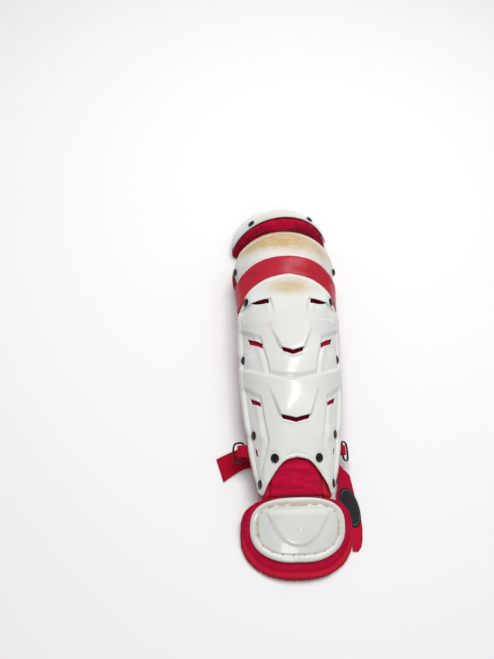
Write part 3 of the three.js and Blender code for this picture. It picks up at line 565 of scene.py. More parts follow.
def cutVents(bm, outlines):
    # each outline's sides cut the sheet with upright planes, and the faces inside it come out
    sheetFaces = bm.faces[:]
    middles = np.array([f.calc_center_median()[:2] for f in sheetFaces])
    near = []
    for outline in outlines:
        corners = placed([(x, y, 0) for x, y in outline])[:, :2]
        within = ((middles > corners.min(0) - 0.003) & (middles < corners.max(0) + 0.003)).all(axis=1)
        near.append((corners, [sheetFaces[k] for k in np.flatnonzero(within)]))
    for corners, faces in near:
        geom = faces + list({e for f in faces for e in f.edges}) + list({v for f in faces for v in f.verts})
        ends = np.roll(corners, -1, axis=0)
        for a, b in zip(corners, ends):
            side = Vector((b[1] - a[1], a[0] - b[0], 0)).normalized()
            geom = bmesh.ops.bisect_plane(bm, geom=geom, dist=1e-6, plane_co=(*a, 0), plane_no=side)["geom"]
        gone = []
        for face in (g for g in geom if isinstance(g, bmesh.types.BMFace)):
            at = face.calc_center_median()
            inside = False
            for a, b in zip(corners, ends):
                if (a[1] > at.y) != (b[1] > at.y):
                    crossing = a[0] + (at.y - a[1]) * (b[0] - a[0]) / (b[1] - a[1])
                    inside ^= at.x < crossing
            if inside:
                gone.append(face)
        bmesh.ops.delete(bm, geom=gone, context="FACES")


def ventOutlines():
    outlines = []
    slot, slant = 5, 2.5
    for foot, _, half, _, _, dip in shellRelief["panels"]:
        low = [(-half + slant, foot - slot), (0, foot - dip - slot), (half - slant, foot - slot)]
        outlines.append([(-half, foot), *low, (half, foot), (0, foot - dip)])
    for hand in (-1, 1):
        for points in (
            [(41, 149.2), (41, 142.2), (59.6, 153.6), (61.6, 161.9)],
            [(45.5, 67.4), (45.5, 62.4), (58, 69), (60, 77)],
            [(30, 214.8), (42, 214.6), (56.5, 211.8), (44, 208.9), (30, 208)],
            [(50.4, -1.5), (51.2, 6.5), (54.6, 11.5), (54.6, 0.5)],
        ):
            outlines.append([(hand * x, y) for x, y in points])
    return outlines


def makeShell():
    look = {"columns": 156, "rows": 290}

    def face(a, t):
        return onShell(a, lerp(shellLower(a), shellUpper(a), t))

    bm = gridMesh(look["columns"], look["rows"], face)
    cutVents(bm, ventOutlines())
    obj = wall(finished("shinShell", bm, white, ["shin_shell"]), shellWall - 0.1)
    at = unplaced(coordsOf(obj.data))
    x, y = at[:, 0], at[:, 1]
    across = acrossOf(shellSize, x, y)
    side = np.abs(across)
    topStain = 0.85 * smooth(1.15 - np.hypot((x - 1) / 42, (y - 232) / 17))
    topStain += 0.25 * smooth(1 - np.hypot((x + 30) / 12, (y - 174) / 8))
    sideStain = 0.55 * smooth((side - 0.86) / 0.1) * smooth((26 - y) / 40)
    # the faint 0.16 tint over the outer sides is painted shade; the rest of the mask is real staining
    setMask(obj, "stain", topStain + sideStain + 0.16 * smooth((side - 0.9) / 0.08))
    toEdge = np.minimum(y - shellLower(across), shellUpper(across) - y)
    setMask(obj, "grime", 0.5 * smooth(1 - toEdge / 5) + 0.35 * smooth((side - 0.93) / 0.06))
    return obj


makeShell()
print("shin shell made")


def makeCap():
    look = {"columns": 90, "rows": 70, "flange": 1.4, "from": 0.07, "rivet": (0.93, 0.52)}

    def face(a, t):
        y = cap["start"] + cap["length"] * lerp(look["from"], 1, t)
        lift = -look["flange"] * smooth((np.abs(a) - 0.9) / 0.03) * smooth((t - 0.1) / 0.1)
        lift = lift - 0.8 * smooth((t - 0.985) / 0.015)
        for dx in (-11, -4, 4, 11):  # small moulding marks above the band
            x = plainArch(capSize, a, y)[..., 0]
            lift = lift + 0.9 * smooth(1 - np.hypot((x - dx) / 2.2, (y - 291) / 1.8))
        return onArch(capSize, a, y, lift)

    obj = plateOf("kneeCap", look, face, white, "knee_cap", shellWall - 0.1)
    at = unplaced(coordsOf(obj.data))
    x, y = at[:, 0], at[:, 1]
    stain = smooth((y - 284 + 0.1 * (x + 10)) / 24) * lerp(1.15, 0.75, smooth((x + 5) / 45))
    setMask(obj, "stain", stain * lerp(1, 0.35, smooth((y - 327) / 14)))
    setMask(obj, "grime", 0.5 * smooth((y - 326) / 14) + 0.5 * smooth((np.abs(x) - 70) / 8))
    for side, hand in (("left", -1), ("right", 1)):
        a = np.array([hand * look["rivet"][0]])
        along = np.array([cap["start"] + look["rivet"][1] * cap["length"]])
        facing = outward(capSize, a, along)[0]
        makeRivet(f"kneeRivet_{side}", onArch(capSize, a, along)[0], facing, f"rivet_knee_{side}")


def makeBand():
    look = {"columns": 110, "rows": 30, "top": 282, "width": 38, "fall": 28, "spread": 0.15, "flare": 4}

    def face(a, t):
        side = np.abs(a)
        wide = look["width"] * (1 + look["spread"] * side * side)
        y = look["top"] - look["fall"] * side**2.4 - wide * (1 - t)
        edges = -0.8 * smooth(1 - np.minimum(t, 1 - t) * 38 / 1.8)
        swell = 0.5 * np.sin(9 * a + 1.2) * smooth((side - 0.6) / 0.3)
        flare = look["flare"] * smooth(2.5 * side - 1.5)
        return onArch(capSize, a, y, clearance + flare + shellWall + edges + np.minimum(swell, 0))

    obj = plateOf("kneeBand", look, face, red, "knee_band", shellWall - 0.1)
    at = unplaced(coordsOf(obj.data))
    setMask(obj, "grime", 0.25 + 0.5 * smooth((np.abs(at[:, 0]) - 60) / 20))


def makeRivet(name, place, direction, node):
    # a domed head with a narrow rim, turned about its own axis
    look = {
        "head": [(0, 2.2), (2.2, 2.1), (4.0, 1.75), (4.9, 1.3), (5.1, 0.95)],
        "rim": [(5.6, 0.9), (6.0, 0.55), (5.9, 0.05)],
        "shank": [(2.2, 0.0), (2.1, -2.6), (0, -2.6)],
    }
    bm = bmesh.new()
    verts = [bm.verts.new((r, 0, z)) for r, z in look["head"] + look["rim"] + look["shank"]]
    for a, b in zip(verts, verts[1:]):
        bm.edges.new((a, b))
    spun(bm, 28, 0.01)
    turned = Vector((0, 0, 1)).rotation_difference(Vector(direction)).to_matrix().to_4x4()
    setDown(bm, bm.verts, place + direction * clearance, turned)
    return finished(name, bm, gunmetal, [node])


makeCap()
makeBand()
for name, x, y, _ in shellRivets:
    for side, hand in (("left", -1), ("right", 1)):
        along = np.array([y])
        across = acrossOf(shellSize, np.array([hand * x]), along)
        reach = 6.0
        spread = reach / 90
        sideways = onShell(across + spread, along) - onShell(across - spread, along)
        lengthways = onShell(across, along + reach) - onShell(across, along - reach)
        facing = unit(np.cross(sideways, lengthways))[0]
        makeRivet(f"{name}Rivet_{side}", onShell(across, along)[0], facing, f"rivet_{name}_{side}")
print("knee cap, band and rivets made")

# Thigh guard
thigh = {
    "half": 86, "height": 91, "near": 357.99, "reach": 82, "turn": math.radians(5),
    "inset": 5, "plate": 0.86, "pad": 15, "lip": 8,
}
thighAlong = [0, 0.25, 0.5, 0.75, 1]
thighRows = {
    "crownY": curve(thighAlong, [0.15, 0.4, 0.66, 0.86, 1]),
    "crownZ": curve(thighAlong, [1, 0.85, 0.62, 0.38, 0.17]),
    "half": curve(thighAlong, [1, 0.985, 0.92, 0.78, 0.55]),
    "edgeY": curve(thighAlong, [0, 0.2, 0.45, 0.68, 0.88]),
    "edgeZ": curve(thighAlong, [0, 0, 0, 0.02, 0.08]),
}
thighWrap = math.radians(80)


def plainThigh(across, along):
    row = {key: rowOf(along) for key, rowOf in thighRows.items()}
    turn = across * thighWrap
    share = (np.cos(turn) - math.cos(thighWrap)) / (1 - math.cos(thighWrap))
    x = thigh["half"] * row["half"] * np.sin(turn) / math.sin(thighWrap)
    y = thigh["near"] + thigh["reach"] * lerp(row["edgeY"], row["crownY"], share)
    return stack(x, y, thigh["height"] * lerp(row["edgeZ"], row["crownZ"], share))


def onThigh(across, along, depth=0.0, lip=0.0):
    low, high = np.clip(along - 0.01, 0, 1), np.clip(along + 0.01, 0, 1)
    sideways = plainThigh(across + 0.01, along) - plainThigh(across - 0.01, along)
    lengthways = plainThigh(across, high) - plainThigh(across, low)
    inwards = -unit(np.cross(sideways, lengthways))
    point = plainThigh(across, along) + inwards * np.asarray(depth, float)[..., None]
    point[..., 1] -= lip * (1 - along) ** 3
    c, s = math.cos(thigh["turn"]), math.sin(thigh["turn"])
    x, y = point[..., 0], point[..., 1] - thigh["near"]
    return stack(c * x - s * y, thigh["near"] + s * x + c * y, point[..., 2])


def makeThighPlate():
    look = {"columns": 90, "rows": 46, "rivet": (0.42, 0.13)}
    inset = thigh["inset"] / thigh["reach"]

    def face(a, t):
        rim = 0.9 * smooth(1 - np.minimum(np.minimum(t, 1 - t) * 60, (1 - np.abs(a)) * 110) / 1.6)
        lengthways = smooth((t - 0.2) / 0.08) * smooth((0.88 - t) / 0.06)
        ridge = -0.8 * smooth((0.62 - np.abs(a)) / 0.06) * lengthways
        return onThigh(thigh["plate"] * a, lerp(inset / 2, 1 - inset, t), 0.7 + rim + ridge)

    obj = plateOf("thighPlate", look, face, white, "thigh_plate", shellWall - 0.8)
    at = unplaced(coordsOf(obj.data))
    setMask(obj, "stain", 0.3 * smooth((at[:, 2] - 60) / 25))
    setMask(obj, "grime", 0.6 * smooth((30 - at[:, 2]) / 25))
    for side, hand in (("left", -1), ("right", 1)):
        a, t = np.array([hand * look["rivet"][0]]), np.array([look["rivet"][1]])
        place = onThigh(a, t)[0]
        makeRivet(f"thighRivet_{side}", place, unit(onThigh(a, t, -1.0) - place)[0], f"rivet_thigh_{side}")


makeThighPlate()
print("thigh plate made")


# Padding
def puffed(name, bm, node, look):
    # the pad is remeshed a little smaller, blown up by its own pressure, and each point's way is capped
    obj = finished(name, bm, cloth, [node])
    grain = obj.modifiers.new("even", "REMESH")
    grain.mode = "VOXEL"
    grain.voxel_size = look["voxel"] / 1000
    baked(obj)
    start = coordsOf(obj.data) - normalsOf(obj.data) * look["shrink"] / 1000
    setCoords(obj.data, start)
    puff = obj.modifiers.new("puff", "CLOTH")
    puff.settings.use_pressure = True
    puff.settings.uniform_pressure_force = 4
    puff.settings.mass = 0.3
    puff.settings.tension_stiffness = 12
    puff.settings.compression_stiffness = 12
    puff.settings.bending_stiffness = 0.8
    puff.settings.effector_weights.gravity = 0
    puff.collision_settings.use_collision = False
    puff.point_cache.frame_start, puff.point_cache.frame_end = 1, 20
    for step in range(1, 21):
        bpy.context.scene.frame_set(step)
    graph = bpy.context.evaluated_depsgraph_get()
    ended = coordsOf(obj.evaluated_get(graph).data)
    obj.modifiers.clear()
    move = ended - start
    far = np.maximum(np.linalg.norm(move, axis=1, keepdims=True), 1e-9)
    grown = start + move * np.minimum(1, look["cap"] / 1000 / far)
    bpy.context.scene.frame_set(1)
    grown[:, 2] = np.maximum(grown[:, 2], 0.0004)
    setCoords(obj.data, grown)
    fine = obj.modifiers.new("fine", "SUBSURF")
    fine.levels = fine.render_levels = 1
    baked(obj)
    obj.data.polygons.foreach_set("use_smooth", [True] * len(obj.data.polygons))
    return obj


def sculpted(obj, lift, paintedShade=None, binding=None, crinkle=None):
    # pushes each point along its normal, and marks the painted shade of seams, creases and undersides, and
    # the bindings, for the cloth's colour
    normals = normalsOf(obj.data)
    at = unplaced(coordsOf(obj.data))
    moved = coordsOf(obj.data) + normals * lift(at, normals)[:, None] / 1000
    moved[:, 2] = np.maximum(moved[:, 2], 0.0003)
    setCoords(obj.data, moved)
    setMask(obj, "paintedShade", paintedShade(at, normals) if paintedShade else np.zeros(len(at)))
    setMask(obj, "binding", binding(at, normals) if binding else np.zeros(len(at)))
    setMask(obj, "crinkle", crinkle(at, normals) if crinkle else np.full(len(at), 0.25))
    return obj


def wrinkles(at, seed=0.0):
    # cloth folds that run across, bunched and never quite even
    x, y = at[:, 0], at[:, 1]
    bend = 0.35 * np.sin(x / 17 + seed) + 0.2 * np.sin(x / 7.3 + 2 * seed + y / 19)
    a = np.sin(y / 1.75 + 2.2 * bend + seed)
    b = np.sin(y / 2.9 - 1.7 * bend + 1.3 + seed)
    return 0.55 * a * (0.6 + 0.4 * np.sin(x / 11 + 1.1 + seed)) + 0.45 * b


lining = {"thick": 11, "reach": 0.96, "taper": 5, "bulge": 9, "archShare": 0.7, "kneeEnd": 321.99}


def liningAt(size, gap, bulge, across, y, depth):
    def route(place):
        side = np.abs(place)
        hand = np.where(place < 0, -1.0, 1.0)
        over = onArch(size, lining["reach"] * np.clip(place / lining["archShare"], -1, 1), y, -gap + 0 * y)
        down = np.clip((side - lining["archShare"]) / (1 - lining["archShare"]), 0, 1)
        out = bulge * np.sin(math.pi * down) - lining["taper"] * down
        return stack(over[..., 0] + hand * out * (down > 0), y, over[..., 2] * (1 - down))

    here = route(across)
    run = route(np.minimum(across + 0.02, 1)) - route(np.maximum(across - 0.02, -1))
    inside = unit(stack(run[..., 2], 0 * y, -run[..., 0]))
    here = here + inside * depth
    here[..., 2] = np.where(np.abs(across) > 0.999, 0.3, np.maximum(here[..., 2], 0.3))
    return here


toe = {
    "slope": 0.41, "bow": 19.6 / 77**2, "top": 51, "centre": -103, "half": 77, "up": 52, "down": 52,
    "square": 2.6, "padSquare": 3.8, "roll": 13, "rollHeight": 4, "thick": 15,
    "plateCentre": -90, "plateHalf": 63, "plateUp": 36, "plateDown": 41, "plateSquare": 2.9,
    "rim": 10, "rise": 6,
}


def shinStart(across):
    share = np.minimum(1.1 * np.abs(across) * shellSize(np.array(-50.0))[0] / toe["half"], 1)
    bib = toe["centre"] + toe["up"] * (1 - share ** toe["square"]) ** (1 / toe["square"]) - 0.8
    return lerp(bib, -28, smooth((np.abs(across) - 0.78) / 0.08))


def makeShinLiner():
    look = {"gap": 5.6, "end": 214.2, "voxel": 4.0, "shrink": 1.2, "cap": 1.1, "fold": 1.5}

    def at(a, t, depth):
        return liningAt(shellSize, look["gap"], 0, a, lerp(shinStart(a), look["end"], t), depth)

    bm = slabMesh(90, 80, lambda a, t: at(a, t, 0), lambda a, t: at(a, t, lining["thick"]))
    obj = puffed("shinLiner", bm, "shin_liner", look)

    def bibMask(p):
        return smooth((9 - p[:, 1]) / 8) * smooth((p[:, 2] - 30) / 8)

    def middle(p):
        return bibMask(p) * smooth((33 - np.abs(p[:, 0] + 2)) / 8)

    def seams(p):
        bib = np.exp(-(((p[:, 0] + 36.5) / 1.4) ** 2)) + np.exp(-(((p[:, 0] - 32.5) / 1.4) ** 2))
        side = np.exp(-(((p[:, 2] - 17) / 1.6) ** 2)) + 0.8 * np.exp(-(((p[:, 2] - 5) / 1.2) ** 2))
        return bib * bibMask(p), side * (np.abs(p[:, 0]) > 34)

    def lift(p, n):
        bib, side = seams(p)
        folds = look["fold"] * wrinkles(p) * middle(p) * smooth((n[:, 2] - 0.2) / 0.4)
        quilt = 0.6 * np.sin(p[:, 1] / 13) * smooth((np.abs(n[:, 0]) - 0.7) / 0.2)
        toToe = 2.4 * smooth((-44 - p[:, 1]) / 4) * bibMask(p)
        return folds - 0.5 - 1.3 * bib - 1.0 * side + quilt * 0.5 + toToe

    # painted shade along the seams and in the troughs of the bib's wrinkles
    def paintedShade(p, n):
        bib, side = seams(p)
        return 0.8 * bib + 0.6 * side + 0.36 * smooth(-wrinkles(p)) * middle(p)

    def binding(p, n):
        return 0.85 * bibMask(p) * np.maximum(smooth((-37 - p[:, 0]) / 3), smooth((p[:, 0] - 33) / 3))

    def crinkle(p, n):
        return lerp(0.3, 1, bibMask(p) * smooth((36 - np.abs(p[:, 0] + 2)) / 6))

    return sculpted(obj, lift, paintedShade, binding, crinkle)


def makeKneeLiner():
    look = {"gap": 3.6, "start": 215.4, "end": 321.99, "voxel": 4.0, "shrink": 1.2, "cap": 1.1}

    def at(a, t, depth):
        return liningAt(capSize, look["gap"], lining["bulge"], a, lerp(look["start"], look["end"], t), depth)

    bm = slabMesh(80, 44, lambda a, t: at(a, t, 0), lambda a, t: at(a, t, lining["thick"]))
    obj = puffed("kneeLiner", bm, "knee_liner", look)

    def lift(p, n):
        side = smooth((np.abs(n[:, 0]) - 0.6) / 0.2)
        seam = np.exp(-(((p[:, 2] - 30) / 1.5) ** 2)) + np.exp(-(((p[:, 2] - 6) / 1.2) ** 2))
        folds = 0.7 * np.sin(p[:, 1] / 5.5 + 1.5 * np.sin(p[:, 2] / 9))
        return side * (folds - 1.2 * seam) - 0.4

    # painted shade along the side seams
    def paintedShade(p, n):
        seam = np.exp(-(((p[:, 2] - 30) / 1.5) ** 2)) + np.exp(-(((p[:, 2] - 6) / 1.2) ** 2))
        return 0.7 * seam * smooth((np.abs(n[:, 0]) - 0.6) / 0.2)

    return sculpted(obj, lift, paintedShade)


def makeThighPad():
    look = {"voxel": 3.6, "shrink": 1.4, "cap": 1.3, "seams": (-0.52, -0.33, 0.2, 0.42)}
    skin = shellWall + clearance

    def at(a, t, share):
        point = onThigh(a, t, skin + 0.2 + share * (thigh["pad"] - 0.2), share * thigh["lip"])
        point[..., 2] = np.maximum(point[..., 2], 0.3)
        return point

    bm = slabMesh(80, 40, lambda a, t: at(a, t, 0), lambda a, t: at(a, t, 1))
    obj = puffed("thighPad", bm, "thigh_pad", look)

    def turnOf(p):
        return np.arctan2(p[:, 0], np.maximum(p[:, 2], 1)) / thighWrap

    def seams(p, n):
        lip = smooth((-n[:, 1] - 0.3) / 0.3)
        return lip * sum(np.exp(-(((turnOf(p) - s) / 0.012) ** 2)) for s in look["seams"])

    def lift(p, n):
        soft = 0.5 * np.sin(turnOf(p) * 31) * smooth((-n[:, 1] - 0.2) / 0.4)
        return -1.2 * seams(p, n) + soft - 0.4

    # painted shade along the seams and over the downward-facing inside of the pad
    def paintedShade(p, n):
        return 0.8 * seams(p, n) + 1.25 * smooth((0.1 - n[:, 2]) / 0.5)

    return sculpted(obj, lift, paintedShade)


toeOutlines = {
    "pad": (toe["centre"], toe["half"], toe["up"], toe["down"], toe["padSquare"]),
    "plate": (toe["plateCentre"], toe["plateHalf"], toe["plateUp"], toe["plateDown"], toe["plateSquare"]),
}


def toeOutline(which, turn, inset):
    centre, half, up, down, square = toeOutlines[which]
    c, s = np.cos(turn), np.sin(turn)
    power = 2 / np.where(s > 0, square, 2.25)
    x = half * np.sign(c) * np.abs(c) ** power
    y = np.where(s > 0, up, down) * np.sign(s) * np.abs(s) ** power
    reach = np.hypot(x, y)
    kept = np.maximum(reach - inset, 0) / reach
    return x * kept, centre + y * kept


def toeHeight(x, y):
    return toe["top"] + toe["slope"] * (y - toe["centre"] - toe["up"]) - toe["bow"] * x * x


def makeToePad():
    look = {"voxel": 3.2, "shrink": 1.2, "cap": 1.1}
    thick = toe["thick"]
    rows = [0, 0.06, 0.3, 0.4, 0.47, 0.53, 0.58, 0.64, 0.7, 0.9, 1]
    insets = [77, 38, 14.6, 12, 6.5, 1.8, 0, 1.8, 6.5, 38, 77]
    lifts = [0, 0, 0, 0, 0, -0.2 * thick, -0.47 * thick, -0.77 * thick, -thick, -thick, -thick]
    rolls = [0, 0, 0, 0.55, 1, 0.5, 0, 0, 0, 0, 0]

    def point(turn, row):
        inset = np.interp(row, rows, insets)
        narrow = np.where(inset < 1.5 * toe["roll"], lerp(1, 0.3, smooth((np.sin(turn) + 0.5) / 0.8)), 1)
        x, y = toeOutline("pad", turn, inset * narrow)
        raised = toe["rollHeight"] * np.interp(row, rows, rolls) * narrow
        raised = raised * smooth((0.85 - np.sin(turn)) / 0.4)
        return stack(x, y, np.maximum(toeHeight(x, y) + np.interp(row, rows, lifts) + raised, 0.3))

    obj = puffed("toePad", buttonMesh(120, 64, point), "toe_pad", look)

    def rollDistance(p):
        # how far inside the pad's outline a point lies, towards the toe's centre
        dx, dy = p[:, 0], p[:, 1] - toe["centre"]
        power = np.where(dy > 0, toe["padSquare"], 2.25)
        tall = np.where(dy > 0, toe["up"], toe["down"])
        share = (np.abs(dx / toe["half"]) ** power + np.abs(dy / tall) ** power) ** (1 / power)
        return (1 - share) * np.hypot(dx, dy) / np.maximum(share, 0.05)

    def widthAt(p):
        turn = np.arctan2((p[:, 1] - toe["centre"]) / 52, p[:, 0] / 77)
        return toe["roll"] * lerp(1, 0.3, smooth((np.sin(turn) + 0.5) / 0.8))

    def seam(p, n):
        return np.exp(-(((rollDistance(p) - widthAt(p) - 1.5) / 1.5) ** 2)) * smooth((n[:, 2] - 0.1) / 0.3)

    def lift(p, n):
        around = np.arctan2(p[:, 1] - toe["centre"], p[:, 0])
        onRoll = smooth((widthAt(p) - rollDistance(p)) / 3)
        puckers = 0.08 * np.sin(around * 46 + 2 * np.sin(around * 5)) + 0.06 * np.sin(around * 29 + 1)
        toBib = 0.8 * smooth((p[:, 1] + 60) / 5)
        return -1.5 * seam(p, n) + puckers * onRoll + 0.2 * np.sin(around * 60) * (1 - onRoll) - 0.35 + toBib

    # painted shade along the seam at the roll's foot
    def paintedShade(p, n):
        return 0.75 * seam(p, n)

    def binding(p, n):
        return 0.55 * smooth((widthAt(p) - rollDistance(p)) / 3)

    return sculpted(obj, lift, paintedShade, binding)


makeShinLiner()
makeKneeLiner()
makeThighPad()
makeToePad()
print("padding made")


def toePlateFace(x, y):
    # the U-shaped facet that stands up on the plate's dome
    bowl = y + 113 - 43 * np.abs(x / 42) ** 2.3
    return 1.7 * smooth(bowl / 4.5) * smooth((-66 - y) / 9)


def makeToePlate():
    look = {"segments": 132, "rings": 74, "stitch": 9.6, "stitchGap": 14}
    rows = [0, 0.2, 0.36, 0.40, 0.44, 0.48, 0.53, 0.57, 0.6, 0.66, 0.8, 1]
    insets = np.array([6.3, 2.6, 1.12, 0.98, 0.86, 0.7, 0.4, 0.14, 0.0, 0.06, 2.6, 6.3]) * toe["rim"]
    rises = np.array([0.84, 0.76, 0.62, 0.42, 0.40, 0.55, 0.74, 0.66, 0.37, 0.0, 0.3, 0.4]) * toe["rise"]

    def point(turn, row):
        x, y = toeOutline("plate", turn, np.interp(row, rows, insets))
        top = smooth((0.36 - row) / 0.04) * toePlateFace(x, y)
        dent = np.exp(-((x / 13) ** 2)) * smooth((-np.sin(turn) - 0.8) / 0.2) * smooth((row - 0.4) / 0.1)
        return stack(x, y + 0.9 * dent, toeHeight(x, y) + clearance + np.interp(row, rows, rises) + top)

    bm = buttonMesh(look["segments"], look["rings"], point)
    obj = finished("toePlate", bm, white, ["toe_plate"])
    at = unplaced(coordsOf(obj.data))
    x, y = at[:, 0], at[:, 1]
    turn = np.arctan2(y - toe["plateCentre"], x)
    sx, sy = toeOutline("plate", turn, np.full_like(turn, 9.0))
    groove = np.exp(-((np.hypot(x - sx, y - sy) / 2.2) ** 2))
    setMask(obj, "stain", 0.55 * groove + 0.35 * smooth(1 - np.hypot((x + 12) / 44, (y + 64) / 5)))
    setMask(obj, "grime", 0.7 * groove)

    bm = bmesh.new()
    turns = np.linspace(0, math.tau, 2000, endpoint=False)
    px, py = toeOutline("plate", turns, np.full_like(turns, look["stitch"]))
    run = np.concatenate([[0], np.cumsum(np.hypot(np.diff(px), np.diff(py)))])
    count = int(run[-1] // look["stitchGap"])
    for k in range(count):
        i = int(np.searchsorted(run, (k + 0.5) * run[-1] / count))
        j = (i + 4) % len(px)
        upper = math.sin(turns[i]) > 0.55 and abs(px[i]) < 42
        length = 10.5 if upper else 3.2
        made = bmesh.ops.create_uvsphere(bm, u_segments=10, v_segments=8, radius=0.8)["verts"]
        bmesh.ops.scale(bm, vec=(length / 1.6, 1.0, 0.7), verts=made)
        z = toeHeight(px[i], py[i]) + clearance + 0.42 * toe["rise"] + 0.5
        heading = Matrix.Rotation(math.atan2(py[j] - py[i], px[j] - px[i]), 4, "Z")
        setDown(bm, made, (px[i], py[i], z), Matrix.Rotation(math.atan(toe["slope"]), 4, "X") @ heading)
    finished("toeStitching", bm, thread)


makeToePlate()
print("toe plate made")


# Webbing and rings
def ribbonMesh(route, edge, width, steps=60, columns=12):
    # a flat strap whose middle follows the route; edge(share) is the way across it, as long as it is wide
    points = np.array(route, float)
    gaps = np.linalg.norm(np.diff(points, axis=0), axis=1)
    knots = np.concatenate([[0], np.cumsum(gaps)])
    lines = [curve(knots, points[:, i]) for i in range(3)]

    def surface(a, t):
        at = t * knots[-1]
        middle = stack(*(line(at) for line in lines))
        return middle + edge(t) * (-a / 2)[:, None]

    return gridMesh(columns, steps, surface, (width, knots[-1]))


def strapPiece(name, route, edge, width, thick, nodes, mat=None, steps=60):
    obj = finished(name, ribbonMesh(route, edge, width, steps), mat or webbing, nodes)
    solid = obj.modifiers.new("thick", "SOLIDIFY")
    solid.thickness = thick / 1000
    solid.offset = 0
    soft = obj.modifiers.new("soft", "BEVEL")
    soft.width, soft.segments = 0.0005, 2
    soft.limit_method = "ANGLE"
    soft.angle_limit = math.radians(60)
    return baked(obj)


strap = {
    "thick": 1.8, "width": 32, "reach": 46, "backWidth": 38, "ringAlong": 10, "ringHeight": 34, "tab": 13,
    # shares of the free end's reach outwards, of its width towards the toe, and of the ring's height
    "ankleOut": [0.057, 0.035, 0.076, 0.196, 0.5, 0.78, 1],
    "ankleBack": [0, 0, 0.016, 0.03, 0.22, 0.42, 0.594],
    "ankleUp": [0.55, 0.315, 0.08, 0.015, 0.035, 0.03, 0.01],
}


def wingFace(hand, y, z):
    top = onArch(shellSize, np.array([lining["reach"] * hand]), np.array([float(y)]), np.array([-5.6]))[0]
    return top[0] - hand * lining["taper"] * (1 - z / top[2])


def makeAnkleStrap():
    rest = clearance + strap["thick"] / 2
    face = wingFace(-1, strap["ringAlong"] + strap["width"] / 2, 0) - rest
    out = face - np.array(strap["ankleOut"]) * strap["reach"]
    along = strap["ringAlong"] - np.array(strap["ankleBack"]) * strap["width"]
    route = stack(out, along, rest + np.array(strap["ankleUp"]) * strap["ringHeight"])

    def edge(t):
        return stack(-0.32 * strap["width"] * np.maximum(2 * t - 1, 0), strap["width"] + 0 * t, 0 * t)

    obj = strapPiece("ankleStrap", route, edge, strap["width"], strap["thick"] - 0.1, ["ankle_strap"])


def makeBackStraps():
    rest = clearance + strap["thick"] / 2
    for name, node, y, size, gap, bulge in (
        ("calfStrap", "calf_strap", shell["foot"] + 0.62 * shell["length"], shellSize, 5.6, 0),
        ("kneeStrap", "knee_strap", cap["start"] + 0.3 * cap["length"], capSize, 3.6, lining["bulge"]),
    ):
        def onWing(a, along=y):
            depth = lining["thick"] + rest + clearance / 2
            return liningAt(size, gap, bulge, np.array([a]), np.array([float(along)]), depth)[0]

        half = [onWing(a) for a in (0.9, 0.93, 0.96, 0.98)]
        low = half[-1]
        for out, up in ((1.2, 0.8), (4, 0.1), (8, 0)):
            half.append(np.array([low[0] - out * strap["thick"], y, rest + up * strap["thick"]]))
        route = half + [np.array([0, y, rest])] + [p * (-1, 1, 1) for p in half[::-1]]
        slant = onWing(0.94, y + 19)[0] - onWing(0.94, y - 19)[0]

        def edge(t):
            return stack(slant * (1 - 2 * t), strap["backWidth"] + 0 * t, 0 * t)

        obj = strapPiece(name, route, edge, strap["backWidth"], strap["thick"] - 0.1, [node], steps=110)


def makeRings():
    look = {"length": 26, "reach": 17, "wire": 2.8, "tabReach": 6, "tail": 3}
    for side, hand, lean, puff in (("left", -1, 0.4, 5), ("right", 1, 0.95, 0)):
        face = wingFace(hand, strap["ringAlong"], strap["ringHeight"])
        loop = look["wire"] / 2 + 2 * clearance + strap["thick"] / 2
        tabWide = strap["tab"] + 0.6 * puff
        beside = face + hand * (clearance + strap["thick"] / 2)
        root = np.array([beside, strap["ringAlong"], strap["ringHeight"]])
        hub = root + (hand * (loop + look["tabReach"]), 0, 0)
        up, far = np.array([0, 0, loop]), np.array([hand * (loop + puff), 0, 0])
        out = [root, lerp(hub, root, 0.4) + 0.7 * up, hub + up, hub + 0.72 * (up + far), hub + far]
        end = root - (0, 0, 2 * loop + look["tail"])
        home = [hub + 0.72 * (far - up), hub - up, lerp(hub, root, 0.5) - up, end]

        def edge(t):
            return stack(0 * t, tabWide * hand + 0 * t, 0 * t)

        thick = strap["thick"] + 1.1 + 0.2 * puff
        strapPiece(f"ringTab_{side}", out + home, edge, tabWide, thick, [f"ring_tab_{side}"], steps=48)

        bm = bmesh.new()
        circle = bmesh.ops.create_circle(bm, segments=14, radius=look["wire"] / 2)["verts"]
        bmesh.ops.rotate(bm, verts=circle, cent=(0, 0, 0), matrix=Matrix.Rotation(math.pi / 2, 3, "X"))
        bmesh.ops.translate(bm, verts=circle, vec=(10, 0, 0))
        spun(bm, 72, 0.001)
        middle = hub + np.array([hand * math.cos(lean), 0, -math.sin(lean)]) * look["reach"] / 2
        halfAcross, halfAlong = look["reach"] / 2, look["length"] / 2
        for vert in bm.verts:
            turn = math.atan2(vert.co.y, vert.co.x)
            c, s = math.cos(turn), math.sin(turn)
            off = math.hypot(vert.co.x, vert.co.y) - 10
            wayAcross = math.copysign(abs(c) ** 1.4, c) / halfAcross
            wayAlong = math.copysign(abs(s) ** 1.4, s) / halfAlong
            facing = Vector((wayAcross, wayAlong)).normalized() * off
            x = halfAcross * math.copysign(abs(c) ** 0.6, c) + facing.x
            vert.co = (x, halfAlong * math.copysign(abs(s) ** 0.6, s) + facing.y, vert.co.z)
        bmesh.ops.recalc_face_normals(bm, faces=bm.faces)
        setDown(bm, bm.verts, middle, Matrix.Rotation(hand * lean, 4, "Y"))
        finished(f"ring_{side}Oval", bm, gunmetal, [f"ring_{side}"])


